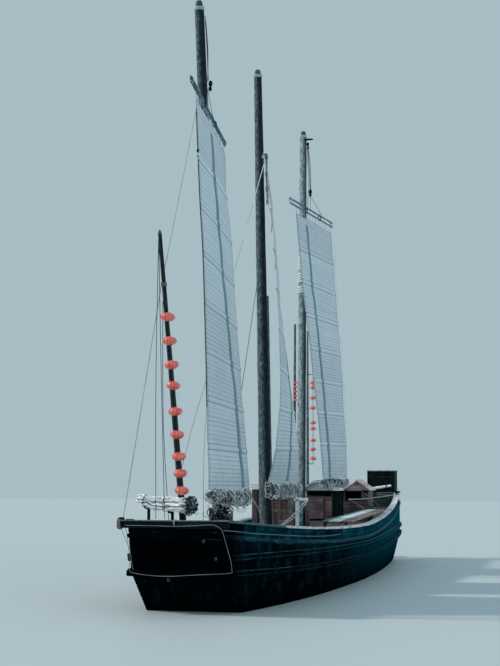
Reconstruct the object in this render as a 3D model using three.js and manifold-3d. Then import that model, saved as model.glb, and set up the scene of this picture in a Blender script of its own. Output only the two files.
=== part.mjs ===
// A lake junk with seven masts, as a tree of named solids.
// Millimetres. -Y is the bow, +X is port and +Z is up.
// The origin is the middle of the flat bottom, on its underside.

import * as THREE from "three";
import { mergeVertices } from "three/addons/utils/BufferGeometryUtils.js";
import Module from "manifold-3d";

const wasm = await Module();
wasm.setup();

// Driving dimensions of the hull
const HULL = {
  stations: 24, // sections between bow and stern
  middle: 0.46, // where along the hull the beam is widest and the sheer lowest
  plank: 80, // thickness of bulwarks and of the end boards
};
const GAP = 0.3; // between solids that touch
const FIT = 9; // between a curved strake and the hull that it lies on
const REST = 4; // between the gently curved deck and what stands on it

// The hull's lengthwise lines, from the flat bottom up to the top of the bulwark.
// Columns: y of its bow and stern ends, z at bow, middle and stern, half beam at bow, middle and stern.
const LINES = {
  bottom: { y: [-9500, 9500], z: [0, 0, 0], x: [900, 1480, 760] },
  bilge: { y: [-10350, 10650], z: [300, 300, 330], x: [1090, 1760, 900] },
  water: { y: [-11000, 11500], z: [650, 650, 720], x: [1217, 1930, 1010] },
  wale: { y: [-11940, 12050], z: [1630, 1480, 1740], x: [1280, 2200, 1185] },
  deck: { y: [-12320, 12400], z: [2450, 2000, 2840], x: [1200, 2290, 1130] },
  sheer: { y: [-12520, 12500], z: [2870, 2420, 3260], x: [1165, 2320, 1060] },
};
const SHAPE = { bowBeam: 2.7, sternBeam: 1.7, bowRise: 2.2, sternRise: 1.45 };

// Rubbing strakes. Each edge runs between two lines, a share of the way up at bow, middle and stern.
const WALES = [
  {
    name: "wale_lower", proud: 80, knee: "wale",
    low: { from: "water", to: "wale", share: [0.9, 0.9, 0.9] },
    high: { from: "wale", to: "deck", share: [0.12, 0.16, 0.08] },
  },
  {
    name: "wale_middle", proud: 70,
    low: { from: "wale", to: "deck", share: [0.34, 0.6, 0.19] },
    high: { from: "wale", to: "deck", share: [0.56, 0.95, 0.35] },
  },
];
const SHEER_STRAKE = { share: [0.08, 0.3], proud: 42 }; // on the bulwark, from the deck's line up
const RAIL = { out: 55, wide: 210, thick: 60 }; // the cap on the bulwark

// Masts: where the foot stands on the deck, rake in degrees with aft positive, height of the top,
// and radii at foot and top.
const MASTS = [
  { name: "bow_lantern_mast", x: 50, y: -11900, rake: -15.1, top: 9600, r: [88, 44] },
  { name: "fore_mast", x: 0, y: -8720, rake: -8.4, top: 16100, r: [185, 118] },
  { name: "main_mast", x: 0, y: -3960, rake: -4.6, top: 15900, r: [195, 102] },
  { name: "mizzen_mast", x: -210, y: 990, rake: 2.4, top: 15650, r: [152, 112] },
  { name: "side_mast", x: -1780, y: 3100, rake: -3, top: 10200, r: [75, 42] },
  { name: "quarter_mast", x: -1630, y: 5800, rake: 2, top: 9560, r: [70, 40] },
  { name: "stern_lantern_mast", x: -1480, y: 7300, rake: 1, top: 9430, r: [62, 32] },
];
// A mast's head above its last taper: a ring, then a narrower cap, in multiples of the top radius.
const HEAD = { ring: { r: 1.13, high: 0.75 }, cap: { r: 0.66, high: 1.3 } };

// Partners: a block on deck round the foot of each large mast, with two cheek boards standing on it.
// Columns: the block's half width, then each cheek's x from the mast's axis and its top.
const PARTNERS = [
  { mast: "fore_mast", half: 420, cheeks: [{ x: [200, 290], top: 2960 }, { x: [-290, -200], top: 3120 }] },
  { mast: "main_mast", half: 500, cheeks: [{ x: [215, 305], top: 2900 }, { x: [-455, -275], top: 3560 }] },
  { mast: "mizzen_mast", half: 400, cheeks: [{ x: [185, 275], top: 2850 }, { x: [-275, -185], top: 2950 }] },
];
const PARTNER = { long: 260, high: 140, cheek: 150 }; // half length, height, half width of a cheek

// Sails, read from the foot up: height of the row at luff and leech, distance of those two ends from
// the mast's axis with aft positive, and how far the row is swung to starboard in degrees.
// battens: height of the lowest and highest at the luff, and how much higher each is at the leech.
// out: how much further from the mast a row stands than the sail's offset.
// hang: depth of the gathered foot at its fore end and further aft.
const SAILS = [
  {
    name: "fore", mast: "fore_mast", offset: 330,
    rows: [
      { z: [3620, 3580], u: [-2990, 2800], swing: 6 },
      { z: [6950, 7330], u: [-2620, 1900], swing: 6 },
      { z: [9330, 9950], u: [-2480, 1620], swing: 6 },
      { z: [10790, 11420], u: [-2480, 1050], swing: 5 },
      { z: [13000, 12380], u: [-2560, 950], swing: 5 },
    ],
    yard: { z: [13390, 12720], u: [-2850, 1100], swing: 5, twin: 100 },
    battens: { z: [4650, 11610], rise: [-20, -330] },
    hang: [240, 350], boom: [-3090, 2870],
  },
  {
    name: "main", mast: "main_mast", offset: 400,
    rows: [
      { z: [3760, 3740], u: [-1550, 3000], swing: 2.5, out: -30 },
      { z: [4730, 4800], u: [-1600, 2850], swing: 5.5, out: 150 },
      { z: [5900, 5960], u: [-1650, 2750], swing: 8.4, out: 200 },
      { z: [7000, 7120], u: [-1700, 2650], swing: 10.5, out: 190 },
      { z: [8950, 9070], u: [-1700, 2450], swing: 13.2, out: 90 },
      { z: [9910, 9990], u: [-1700, 2350], swing: 13.6, out: 50 },
      { z: [12520, 12230], u: [-1800, 2100], swing: 14, out: -140 },
    ],
    yard: { z: [12910, 12460], u: [-2050, 2300], swing: 14.5, out: -165, twin: 110 },
    battens: { z: [4730, 11500], rise: [70, -60] },
    hang: [360, 370], boom: [-1600, 3060],
  },
  {
    name: "mizzen", mast: "mizzen_mast", offset: 380,
    rows: [
      { z: [3900, 3890], u: [1030, 4720], swing: -1, out: 90 },
      { z: [5000, 5500], u: [745, 4450], swing: -1, out: 90 },
      { z: [8100, 8450], u: [-655, 3700], swing: -1, out: 60 },
      { z: [10060, 10620], u: [-1375, 3035], swing: -1, out: 30 },
      { z: [12340, 12500], u: [-2190, 2515], swing: -1 },
    ],
    yard: { z: [12660, 12870], u: [-3135, 2770], swing: -1, twin: 175 },
    battens: { z: [5030, 11280], rise: [60, 175] },
    hang: [280, 290], boom: [930, 4760],
  },
];
const SAIL = { thick: 36, belly: 90, spar: 56, boom: 50, battens: 7, pocket: 140, proud: 22, hem: 8 };

// The deckhouse aft: its walls' box on deck, and the front wall's cuts as x and z ranges
const HOUSE = {
  x: [-1240, 1040], y: [6100, 7000], wallTop: 3420, wall: 50,
  door: { x: [-1130, -590], low: 60, top: 3190 },
  slot: { x: [-1180, -300], z: [3250, 3385] },
  bay: { x: [210, 800], z: [3080, 3385] },
  post: { x: [-250, 130], y: 5930, top: 3400 },
};
// Its two roofs across: eaves, the thickness of the boards, and the ridge's or crown's rise
const ROOFS = [
  { name: "roof_starboard", x: [-1300, -220], flat: 182, crown: 310, arched: true },
  { name: "roof_port", x: [188, 1140], crown: 345, arched: false },
];
const ROOF = { thick: 40, fore: 180, aft: 60 };

const rad = THREE.MathUtils.degToRad;
const part = new THREE.Group();
const finishes = {
  hull: new THREE.MeshStandardMaterial({ color: 0x0d1a1d, roughness: 0.45 }),
  rail: new THREE.MeshStandardMaterial({ color: 0x8b8a86, roughness: 0.7 }),
  deck: new THREE.MeshStandardMaterial({ color: 0x7a6a62, roughness: 0.8 }),
  spar: new THREE.MeshStandardMaterial({ color: 0x4b4443, roughness: 0.6 }),
  sail: new THREE.MeshStandardMaterial({ color: 0xa9b9c0, roughness: 0.9 }),
  lantern: new THREE.MeshStandardMaterial({ color: 0xe0524f, roughness: 0.6 }),
  rope: new THREE.MeshStandardMaterial({ color: 0xb9b1a2, roughness: 0.9 }),
  house: new THREE.MeshStandardMaterial({ color: 0x7a6a6c, roughness: 0.8 }),
};

function add(name, geometry, finish) {
  const mesh = new THREE.Mesh(geometry, finishes[finish]);
  mesh.name = name;
  part.add(mesh);
  return mesh;
}

// A closed skin through rings of points; each end is closed by a ladder across its ring.
function loft(rings) {
  const n = rings[0].length;
  const faces = [];
  const quad = (a, b, c, d) => faces.push(a, b, c, a, c, d);
  for (let i = 0; i + 1 < rings.length; i++) {
    for (let j = 0; j < n; j++) {
      const k = (j + 1) % n;
      quad(i * n + j, i * n + k, (i + 1) * n + k, (i + 1) * n + j);
    }
  }
  const last = (rings.length - 1) * n;
  for (let j = 0; j + 1 < n - 1 - j; j++) {
    const [a, b, c, d] = [j, n - 1 - j, n - 2 - j, j + 1];
    if (c === d) {
      faces.push(a, b, c, last + a, last + c, last + b);
    } else {
      quad(a, b, c, d);
      quad(last + a, last + d, last + c, last + b);
    }
  }
  return facingOut(rings.flat(), faces);
}

function facingOut(points, faces) {
  let volume = 0;
  const p = points.map((v) => new THREE.Vector3(...v));
  for (let i = 0; i < faces.length; i += 3) {
    const [a, b, c] = [p[faces[i]], p[faces[i + 1]], p[faces[i + 2]]];
    volume += a.dot(b.clone().cross(c));
  }
  if (volume < 0) faces.reverse();
  const geometry = new THREE.BufferGeometry();
  geometry.setAttribute("position", new THREE.Float32BufferAttribute(points.flat(), 3));
  geometry.setIndex(faces);
  return geometry;
}

function box(x, y, z) {
  const geometry = new THREE.BoxGeometry(x[1] - x[0], y[1] - y[0], z[1] - z[0]);
  return geometry.translate((x[0] + x[1]) / 2, (y[0] + y[1]) / 2, (z[0] + z[1]) / 2);
}

// A round spar between two points, with its radius at each.
function spar(from, to, r, sides = 14) {
  const a = new THREE.Vector3(...from);
  const b = new THREE.Vector3(...to);
  const geometry = new THREE.CylinderGeometry(r[1], r[0], a.distanceTo(b), sides);
  const way = b.clone().sub(a).normalize();
  const turn = new THREE.Quaternion().setFromUnitVectors(new THREE.Vector3(0, 1, 0), way);
  const middle = a.clone().add(b).multiplyScalar(0.5);
  return geometry.applyQuaternion(turn).translate(middle.x, middle.y, middle.z);
}

// A bundle along a line: place(s) is its middle, half(s) its half width and half height, s from 0 to 1.
// side is the level direction across it.
function bundle(place, half, side, count, sides) {
  const rings = Array.from({ length: count + 1 }, (_, i) => {
    const s = i / count;
    const [x, y, z] = place(s);
    const [w, h] = half(s);
    return Array.from({ length: sides }, (_, j) => {
      const turn = (2 * Math.PI * (j + 0.5)) / sides;
      const [across, up] = [w * Math.cos(turn), h * Math.sin(turn)];
      return [x + side[0] * across, y + side[1] * across, z + up];
    });
  });
  return loft(rings);
}

function solidOf(geometry) {
  const bare = new THREE.BufferGeometry();
  bare.setAttribute("position", geometry.getAttribute("position"));
  if (geometry.index) bare.setIndex(geometry.index);
  const merged = mergeVertices(bare, 1e-3);
  return new wasm.Manifold(
    new wasm.Mesh({
      numProp: 3,
      vertProperties: merged.attributes.position.array,
      triVerts: new Uint32Array(merged.index.array),
    }),
  );
}

function geometryOf(solid) {
  const mesh = solid.getMesh();
  const geometry = new THREE.BufferGeometry();
  geometry.setAttribute("position", new THREE.Float32BufferAttribute(mesh.vertProperties, 3));
  geometry.setIndex(new THREE.BufferAttribute(mesh.triVerts, 1));
  return geometry;
}

const fuse = (...pieces) => geometryOf(pieces.map(solidOf).reduce((a, b) => a.add(b)));
const cut = (body, ...tools) => geometryOf(tools.map(solidOf).reduce((a, b) => a.subtract(b), solidOf(body)));

const mix = (a, b, share) => a + (b - a) * share;
const mixAll = (a, b, share) => a.map((v, i) => mix(v, b[i], share));

// How far t is from the middle towards its own end, and which end that is.
function fromMiddle(t) {
  const ahead = t < HULL.middle;
  const u = ahead ? (HULL.middle - t) / HULL.middle : (t - HULL.middle) / (1 - HULL.middle);
  return { ahead, u, end: ahead ? 0 : 2 };
}

// A value given at bow, middle and stern, at t.
function rising(values, t) {
  const { ahead, u, end } = fromMiddle(t);
  return mix(values[1], values[end], Math.pow(u, ahead ? SHAPE.bowRise : SHAPE.sternRise));
}

// A point of one of the hull's lines at t, from 0 at the bow to 1 at the stern, as [half beam, y, z].
function onLine(line, t) {
  const { y, z, x } = LINES[line];
  const { ahead, u, end } = fromMiddle(t);
  const beam = Math.pow(u, ahead ? SHAPE.bowBeam : SHAPE.sternBeam);
  return [mix(x[1], x[end], beam), mix(y[0], y[1], t), rising(z, t)];
}

const between = (edge, t) => mixAll(onLine(edge.from, t), onLine(edge.to, t), rising(edge.share, t));

// The line's point at a given y.
function atY(line, y) {
  const [bow, stern] = LINES[line].y;
  return onLine(line, (y - bow) / (stern - bow));
}

const deckAt = (y) => atY("deck", y)[2] + REST;
const deckUnder = (y) => Math.max(...y.map(deckAt));
const stations = Array.from({ length: HULL.stations + 1 }, (_, i) => i / HULL.stations);

const SIDES = [
  { side: "port", sign: 1 },
  { side: "starboard", sign: -1 },
];

function hull() {
  const levels = ["bottom", "bilge", "water", "wale", "deck"];
  const rings = stations.map((t) => {
    const port = levels.map((line) => onLine(line, t));
    const starboard = port.map(([x, y, z]) => [-x, y, z]).reverse();
    return [...port, ...starboard];
  });
  add("hull", loft(rings), "hull");
}

// Each bulwark is a wall with a strake along its foot, under a cap.
function bulwarks() {
  const inner = HULL.plank;
  for (const { side, sign } of SIDES) {
    const wall = stations.map((t) => {
      const [xd, yd, zd] = onLine("deck", t);
      const [xs, ys, zs] = onLine("sheer", t);
      return [
        [sign * xd, yd, zd + GAP],
        [sign * xs, ys, zs],
        [sign * (xs - inner), ys, zs],
        [sign * (xd - inner), yd, zd + GAP],
      ];
    });
    const strake = stations.map((t) => {
      const [low, high] = SHEER_STRAKE.share.map((share) => mixAll(onLine("deck", t), onLine("sheer", t), share));
      return [
        [sign * (low[0] - inner / 2), low[1], low[2]],
        [sign * (low[0] + SHEER_STRAKE.proud), low[1], low[2]],
        [sign * (high[0] + SHEER_STRAKE.proud), high[1], high[2]],
        [sign * (high[0] - inner / 2), high[1], high[2]],
      ];
    });
    add(`bulwark_${side}`, fuse(loft(wall), loft(strake)), "hull");
    const cap = stations.map((t) => {
      const [x, y, z] = onLine("sheer", t);
      const outer = x + RAIL.out;
      return [
        [sign * outer, y, z + GAP],
        [sign * outer, y, z + RAIL.thick],
        [sign * (outer - RAIL.wide), y, z + RAIL.thick],
        [sign * (outer - RAIL.wide), y, z + GAP],
      ];
    });
    add(`gunwale_${side}`, loft(cap), "rail");
  }
}

function wales() {
  for (const wale of WALES) {
    for (const { side, sign } of SIDES) {
      const rings = stations.map((t) => {
        const knee = wale.knee ? [onLine(wale.knee, t)] : [];
        const inner = [between(wale.low, t), ...knee, between(wale.high, t)];
        const [low, high] = [inner[0], inner.at(-1)];
        const shift = ([x, y, z], out) => [sign * (x + out), y, z];
        return [...inner.map((p) => shift(p, FIT)), shift(high, wale.proud), shift(low, wale.proud)];
      });
      add(`${wale.name}_${side}`, loft(rings), "hull");
    }
  }
}

// Boards across the two ends, between the bulwarks, and the beams whose ends stick out at the bow.
function ends() {
  const inset = HULL.plank + 2;
  const drop = 70;
  for (const [name, t, into] of [["bow_board", 0, 1], ["stern_board", 1, -1]]) {
    const [xd, yd, zd] = onLine("deck", t);
    const [xs, ys, zs] = onLine("sheer", t);
    const rings = [-1, 1].map((sign) => [
      [sign * (xd - inset), yd, zd + GAP],
      [sign * (xs - inset), ys, zs - drop],
      [sign * (xs - inset), ys + into * HULL.plank, zs - drop],
      [sign * (xd - inset), yd + into * HULL.plank, zd + GAP],
    ]);
    add(name, loft(rings), "hull");
  }
  const [x, y, z] = onLine("sheer", 0);
  add("bow_beam", box([-x - 230, x + 200], [y - 150, y - 6], [z - 150, z + 40]), "rail");
  const [xw, yw, zw] = onLine("wale", 0);
  add("bow_lower_beam", box([-xw - 60, xw + 30], [yw - 190, yw - 60], [zw - 75, zw + 75]), "hull");
}

const mastNamed = (name) => MASTS.find((mast) => mast.name === name);

// A raked mast's round heel needs room for its low edge over the deck.
function heelOf(mast) {
  const room = 25;
  return atY("deck", mast.y)[2] + mast.r[0] * Math.abs(Math.sin(rad(mast.rake))) + room;
}

function mastAt(mast, z) {
  return [mast.x, mast.y + Math.tan(rad(mast.rake)) * (z - heelOf(mast)), z];
}

function radiusAt(mast, z) {
  return mix(mast.r[0], mast.r[1], (z - heelOf(mast)) / (mast.top - heelOf(mast)));
}

function masts() {
  for (const mast of MASTS) {
    const r = mast.r[1];
    const ringLow = mast.top - r * (HEAD.cap.high + HEAD.ring.high);
    const capLow = mast.top - r * HEAD.cap.high;
    const ring = spar(mastAt(mast, ringLow), mastAt(mast, capLow), [r * HEAD.ring.r, r * HEAD.ring.r]);
    const cap = spar(mastAt(mast, capLow - 10), mastAt(mast, mast.top), [r * HEAD.cap.r, r * HEAD.cap.r]);
    const pole = spar(mastAt(mast, heelOf(mast)), mastAt(mast, ringLow + 10), mast.r);
    add(mast.name, fuse(pole, ring, cap, ...partners(mast)), "spar");
  }
}

function partners(mast) {
  const row = PARTNERS.find((partner) => partner.mast === mast.name);
  if (!row) return [];
  const y = [mast.y - PARTNER.long, mast.y + PARTNER.long];
  const base = deckUnder(y);
  const cheekY = [mast.y - PARTNER.cheek, mast.y + PARTNER.cheek];
  const cheeks = row.cheeks.map(({ x, top }) => box(x.map((v) => mast.x + v), cheekY, [base + 10, top]));
  return [box([mast.x - row.half, mast.x + row.half], y, [base, base + PARTNER.high]), ...cheeks];
}

// The share of the way from the mast's side that the cloth bellies, along a row.
const belly = (share) => SAIL.belly * Math.sin(Math.PI * share);

// A point of a sail's row: share from luff to leech, w out from the row's own curve.
function onSail(sail, row, share, w) {
  const mast = mastNamed(sail.mast);
  const z = mix(row.z[0], row.z[1], share);
  const u = mix(row.u[0], row.u[1], share);
  const [x, y] = mastAt(mast, z);
  const a = rad(row.swing);
  const out = sail.offset + (row.out ?? 0) + w + belly(share);
  return [x + out * Math.cos(a) - u * Math.sin(a), y + out * Math.sin(a) + u * Math.cos(a), z];
}

// The row of a sail that meets its luff and leech at two heights.
function rowAt(sail, z) {
  const read = (end, height, value) => {
    const rows = sail.rows;
    const i = Math.min(rows.length - 2, Math.max(0, rows.findIndex((row) => row.z[end] > height) - 1));
    return mix(value(rows[i]), value(rows[i + 1]), (height - rows[i].z[end]) / (rows[i + 1].z[end] - rows[i].z[end]));
  };
  return {
    z,
    u: [read(0, z[0], (row) => row.u[0]), read(1, z[1], (row) => row.u[1])],
    swing: read(0, z[0], (row) => row.swing),
    out: read(0, z[0], (row) => row.out ?? 0),
  };
}

// Rows up a sail, each with its thickness: cloth between, and a thicker pocket at every batten.
function clothRows(sail) {
  const { z, rise } = sail.battens;
  const half = SAIL.pocket / 2;
  const rows = [{ ...sail.rows[0], thick: SAIL.thick }];
  for (let i = 0; i < SAIL.battens; i++) {
    const share = i / (SAIL.battens - 1);
    const luff = mix(z[0], z[1], share);
    const leech = luff + mix(rise[0], rise[1], share);
    const steps = [[-half - SAIL.hem, 0], [-half, SAIL.proud], [half, SAIL.proud], [half + SAIL.hem, 0]];
    for (const [up, proud] of steps) {
      rows.push({ ...rowAt(sail, [luff + up, leech + up]), thick: SAIL.thick + 2 * proud });
    }
  }
  rows.push({ ...sail.rows.at(-1), thick: SAIL.thick });
  return rows;
}

function sails() {
  const shares = [0, 0.2, 0.4, 0.6, 0.8, 1];
  for (const sail of SAILS) {
    const rings = clothRows(sail).map((row) => [
      ...shares.map((share) => onSail(sail, row, share, row.thick / 2)),
      ...shares.map((share) => onSail(sail, row, share, -row.thick / 2)).reverse(),
    ]);
    add(`${sail.name}_sail`, loft(rings), "sail");
    add(`${sail.name}_yard`, yardOf(sail), "spar");
    add(`${sail.name}_foot_bundle`, footOf(sail), "sail");
  }
}

// The yard is a pair of spars over the sail's head, held by short blocks between them.
function yardOf(sail) {
  const { yard } = sail;
  const low = { ...yard, z: yard.z.map((z) => z - yard.twin) };
  const taper = [SAIL.spar, SAIL.spar * 0.8];
  const level = (row, share) => onSail(sail, row, share, -belly(share));
  const top = spar(level(yard, 0), level(yard, 1), taper, 10);
  const under = spar(level(low, 0.02), level(low, 0.98), taper, 10);
  const ties = [0.08, 0.36, 0.64, 0.92].map((share) => spar(level(yard, share), level(low, share), [40, 40], 8));
  return fuse(top, under, ...ties);
}

// The foot: the boom with the cloth that is gathered under the sail on it, deeper aft than forward.
function footOf(sail) {
  const foot = sail.rows[0];
  const under = 12;
  const depth = (s) => mix(sail.hang[0], sail.hang[1], THREE.MathUtils.smoothstep(s, 0.2, 0.32));
  const lump = (s) => 1 + 0.1 * Math.sin(23 * s) * Math.sin(9 * s + 1);
  const place = (s) => {
    const [x, y, z] = onSail(sail, foot, s, 0);
    return [x, y, z - under - depth(s) / 2];
  };
  const half = (s) => {
    const end = Math.min(1, 0.55 + 4 * Math.min(s, 1 - s));
    return [112 * lump(s + 0.2) * end, (depth(s) / 2) * Math.min(1, lump(s)) * end];
  };
  const a = rad(foot.swing);
  const cloth = bundle(place, half, [Math.cos(a), Math.sin(a)], 18, 10);
  const line = { ...foot, z: foot.z.map((z) => z - under - sail.hang[0] / 2), u: sail.boom };
  const level = (share) => onSail(sail, line, share, -belly(share));
  return fuse(cloth, spar(level(0), level(1), [SAIL.boom, SAIL.boom], 10));
}

// Lanterns on one line beside a mast, joined by the cord that carries them, held off by two arms.
// Columns: radius and height of a lantern, x and y from the mast's axis, the cord's length under the
// lowest lantern, and the heights of the lanterns.
const LANTERN_STRINGS = [
  {
    name: "bow_lanterns", mast: "bow_lantern_mast", r: 178, tall: 240, away: [125, -285], under: 35,
    z: [3600, 4004, 4397, 4906, 5441, 6040, 6512, 7059, 7603],
  },
  {
    name: "quarter_lanterns", mast: "quarter_mast", r: 85, tall: 105, away: [60, -170], under: 150,
    z: [6725, 6880, 7040, 7200, 7356],
  },
  {
    name: "stern_lanterns", mast: "stern_lantern_mast", r: 122, tall: 165, away: [240, -120], under: 150,
    z: [4614, 4950, 5291, 5727, 5946, 6503, 6880, 7270, 7445],
  },
];
const CORD = { r: 14, over: 260 };

function lanterns() {
  for (const { name, mast: mastName, r, tall, away, under, z } of LANTERN_STRINGS) {
    const mast = mastNamed(mastName);
    const place = (height) => {
      const [x, y] = mastAt(mast, height);
      return [x + away[0], y + away[1], height];
    };
    const [low, high] = [z[0] - tall / 2 - under, z.at(-1) + tall / 2 + CORD.over];
    const cord = spar(place(low), place(high), [CORD.r, CORD.r], 8);
    const far = Math.hypot(...away);
    const arms = [low + CORD.r * 2, high - CORD.r * 2].map((height) => {
      const [x, y] = mastAt(mast, height);
      const clear = (radiusAt(mast, height) * 1.08 + 3) / far;
      return spar(place(height), [x + away[0] * clear, y + away[1] * clear, height], [CORD.r, CORD.r], 8);
    });
    const globes = z.map((height) => {
      const globe = new THREE.SphereGeometry(r, 12, 8).rotateX(Math.PI / 2);
      return globe.scale(1, 1, tall / 2 / r).translate(...place(height));
    });
    add(name, fuse(cord, ...arms, ...globes), "lantern");
  }
}

// The stay from a collar on the bow lantern mast down to the bow beam's starboard end.
const BOW_STAY = { z: 8370, collar: [88, 62, 70], foot: [-1250, -12600], r: 12 };

function bowStay() {
  const mast = mastNamed("bow_lantern_mast");
  const [outer, , high] = BOW_STAY.collar;
  const at = (z) => mastAt(mast, z);
  const [low, top] = [BOW_STAY.z - high / 2, BOW_STAY.z + high / 2];
  const hole = radiusAt(mast, low) + 3;
  const ring = cut(
    spar(at(low), at(top), [outer, outer], 16),
    spar(at(low - 20), at(top + 20), [hole, hole], 16),
  );
  const [x, y] = at(BOW_STAY.z);
  const beamTop = onLine("sheer", 0)[2] + 40;
  const from = [x - (hole + outer) / 2, y, BOW_STAY.z];
  const foot = [...BOW_STAY.foot, beamTop + BOW_STAY.r];
  add("bow_stay", fuse(ring, spar(from, foot, [BOW_STAY.r, BOW_STAY.r], 8)), "rope");
}

// The deckhouse: four walls, a door, a post before its middle, and two roofs side by side.
function deckhouse() {
  const { x, y, wallTop, wall, door, slot, bay, post } = HOUSE;
  const frontFloor = deckUnder([y[0], y[0] + wall]);
  const through = [y[0] - 50, y[0] + wall + 50];
  const front = cut(
    box(x, [y[0], y[0] + wall], [frontFloor, wallTop]),
    box(door.x, through, [frontFloor + door.low, door.top]),
    box(slot.x, through, slot.z),
    box(bay.x, through, bay.z),
  );
  add("house_front", fuse(front, box(post.x, [post.y, y[0] + wall / 2], [frontFloor, post.top])), "house");
  for (const { side, sign } of SIDES) {
    const outer = sign > 0 ? x[1] : -x[0];
    const wallRings = [y[0] + wall + 1, y[1] - wall - 1].map((at) => [
      [sign * outer, at, deckAt(at)],
      [sign * outer, at, wallTop],
      [sign * (outer - wall), at, wallTop],
      [sign * (outer - wall), at, deckAt(at)],
    ]);
    add(`house_side_${side}`, loft(wallRings), "house");
  }
  add("house_back", box(x, [y[1] - wall, y[1]], [deckAt(y[1]), wallTop]), "house");
  const leaf = 6;
  const doorX = [door.x[0] + leaf, door.x[1] - leaf];
  const doorZ = [frontFloor + door.low + leaf, door.top - leaf];
  add("house_door", box(doorX, [y[0] - 46, y[0] - leaf], doorZ), "house");

  for (const roof of ROOFS) {
    const shares = roof.arched ? [0, 0.17, 0.34, 0.5, 0.66, 0.83, 1] : [0, 0.5, 1];
    const rise = (s) => (roof.arched ? Math.pow(Math.sin(Math.PI * s), 0.8) : 1 - Math.abs(2 * s - 1));
    const eaves = wallTop + 6;
    const profile = (at, thick) => {
      const points = shares.map((s) => [mix(roof.x[0], roof.x[1], s), at, eaves + thick + roof.crown * rise(s)]);
      return roof.flat ? [...points, [roof.flat, at, eaves + thick]] : points;
    };
    const rings = [y[0] - ROOF.fore, y[1] + ROOF.aft].map((at) => [
      ...profile(at, ROOF.thick),
      ...profile(at, 0).reverse(),
    ]);
    add(roof.name, loft(rings), "house");
  }
}

// Hatches: a coaming, and leaves that are each hinged along the coaming's side.
const HATCHES = [
  { name: "fore_hatch", x: 370, y: [-7400, -5700] },
  { name: "middle_hatch", x: 370, y: [-1150, 150] },
];
const HATCH = { high: 260, thick: 50, lap: 40, lid: 40, clear: 6, seam: 4 };

function hatches() {
  for (const { name, x, y } of HATCHES) {
    const base = deckUnder(y);
    const top = base + HATCH.high;
    const inside = y.map((v, i) => v + (i ? -HATCH.thick : HATCH.thick));
    const outer = box([-x, x], y, [base, top]);
    const inner = box([HATCH.thick - x, x - HATCH.thick], inside, [base - 50, top + 50]);
    add(`${name}_coaming`, cut(outer, inner), "deck");
    for (const { side, sign } of SIDES) {
      const across = [sign * HATCH.seam, sign * (x + HATCH.lap)].sort((a, b) => a - b);
      const along = [y[0] - HATCH.lap, y[1] + HATCH.lap];
      const lid = box(across, along, [top + HATCH.clear, top + HATCH.clear + HATCH.lid]);
      add(`${name}_leaf_${side}`, lid, "deck");
    }
  }
}

// The spare sail stowed across the bow, from its starboard end to its port end: half its width,
// and half its height at either end. The crutches under it stand at CRUTCHES.
const STOWED = { from: [-970, -12440, 3400], to: [370, -12440, 3235], wide: 145, half: [115, 178] };
const STOWED_SWELL = 0.06;
const CRUTCHES = [-752, -155];
const CRUTCH = { y: [-12220, -12160], post: 32, reach: -12500, arm: 45, deep: 80, clear: 12, sole: 60 };

function stowedSail() {
  const place = (s) => mixAll(STOWED.from, STOWED.to, s);
  const half = (s) => {
    const end = Math.min(1, 0.6 + 5 * Math.min(s, 1 - s));
    const swell = end * (1 + STOWED_SWELL * Math.sin(19 * s));
    return [STOWED.wide * swell, mix(STOWED.half[0], STOWED.half[1], s) * swell];
  };
  add("stowed_sail", bundle(place, half, [0, 1], 12, 10), "sail");

  const base = deckUnder(CRUTCH.y);
  const pieces = CRUTCHES.flatMap((x) => {
    const s = (x - STOWED.from[0]) / (STOWED.to[0] - STOWED.from[0]);
    const lowest = place(s)[2] - mix(STOWED.half[0], STOWED.half[1], s) * (1 + STOWED_SWELL) - CRUTCH.clear;
    const under = [CRUTCH.reach, CRUTCH.y[1]];
    return [
      box([x - CRUTCH.post, x + CRUTCH.post], CRUTCH.y, [base, lowest - CRUTCH.deep / 2]),
      box([x - CRUTCH.arm, x + CRUTCH.arm], under, [lowest - CRUTCH.deep, lowest]),
    ];
  });
  const sole = box(CRUTCHES, CRUTCH.y, [base, base + CRUTCH.sole]);
  add("crutches", fuse(sole, ...pieces), "deck");
}

const BITT = { x: 950, y: [-11400, -11260], top: 2850, post: 70, cap: 130 };
const LOCKER = { x: [-260, 260], y: [-2600, -2000], top: 3310, lid: 40, over: 25 };
const BELAYING_POST = { x: [-270, -50], cap: [-320, 150], y: [500, 600], top: 3240, deep: 110 };

// What stands on deck from the bow to the mizzen mast.
function deckGear() {
  for (const { side, sign } of SIDES) {
    const x = sign * BITT.x;
    const post = box([x - BITT.post, x + BITT.post], BITT.y, [deckUnder(BITT.y), BITT.top - 60]);
    const capY = [BITT.y[0] - 20, BITT.y[1] + 20];
    add(`bitt_${side}`, fuse(post, box([x - BITT.cap, x + BITT.cap], capY, [BITT.top - 90, BITT.top])), "deck");
  }

  const lidLow = LOCKER.top - LOCKER.lid;
  const lidX = [LOCKER.x[0] - LOCKER.over, LOCKER.x[1] + LOCKER.over];
  const lidY = [LOCKER.y[0] - LOCKER.over, LOCKER.y[1] + LOCKER.over];
  const chest = box(LOCKER.x, LOCKER.y, [deckUnder(LOCKER.y), lidLow + 5]);
  add("deck_locker", fuse(chest, box(lidX, lidY, [lidLow, LOCKER.top])), "house");

  const post = BELAYING_POST;
  const upright = box(post.x, post.y, [deckUnder(post.y), post.top - 20]);
  add("belaying_post", fuse(upright, box(post.cap, post.y, [post.top - post.deep, post.top])), "rail");
}

// Planks beside the port rail, on legs. Columns: y, x inboard and outboard, underside.
const SIDE_PLANKS = [
  { y: -2400, x: [1250, 2230], z: 2560 },
  { y: 4400, x: [1250, 1970], z: 2752 },
];
const PLANKS = { thick: 48, leg: 45, legs: [0.04, 0.5, 0.96] };
const STERN_FLOOR = { y: [11300, 12300], half: 1180, thick: 50 };
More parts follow.
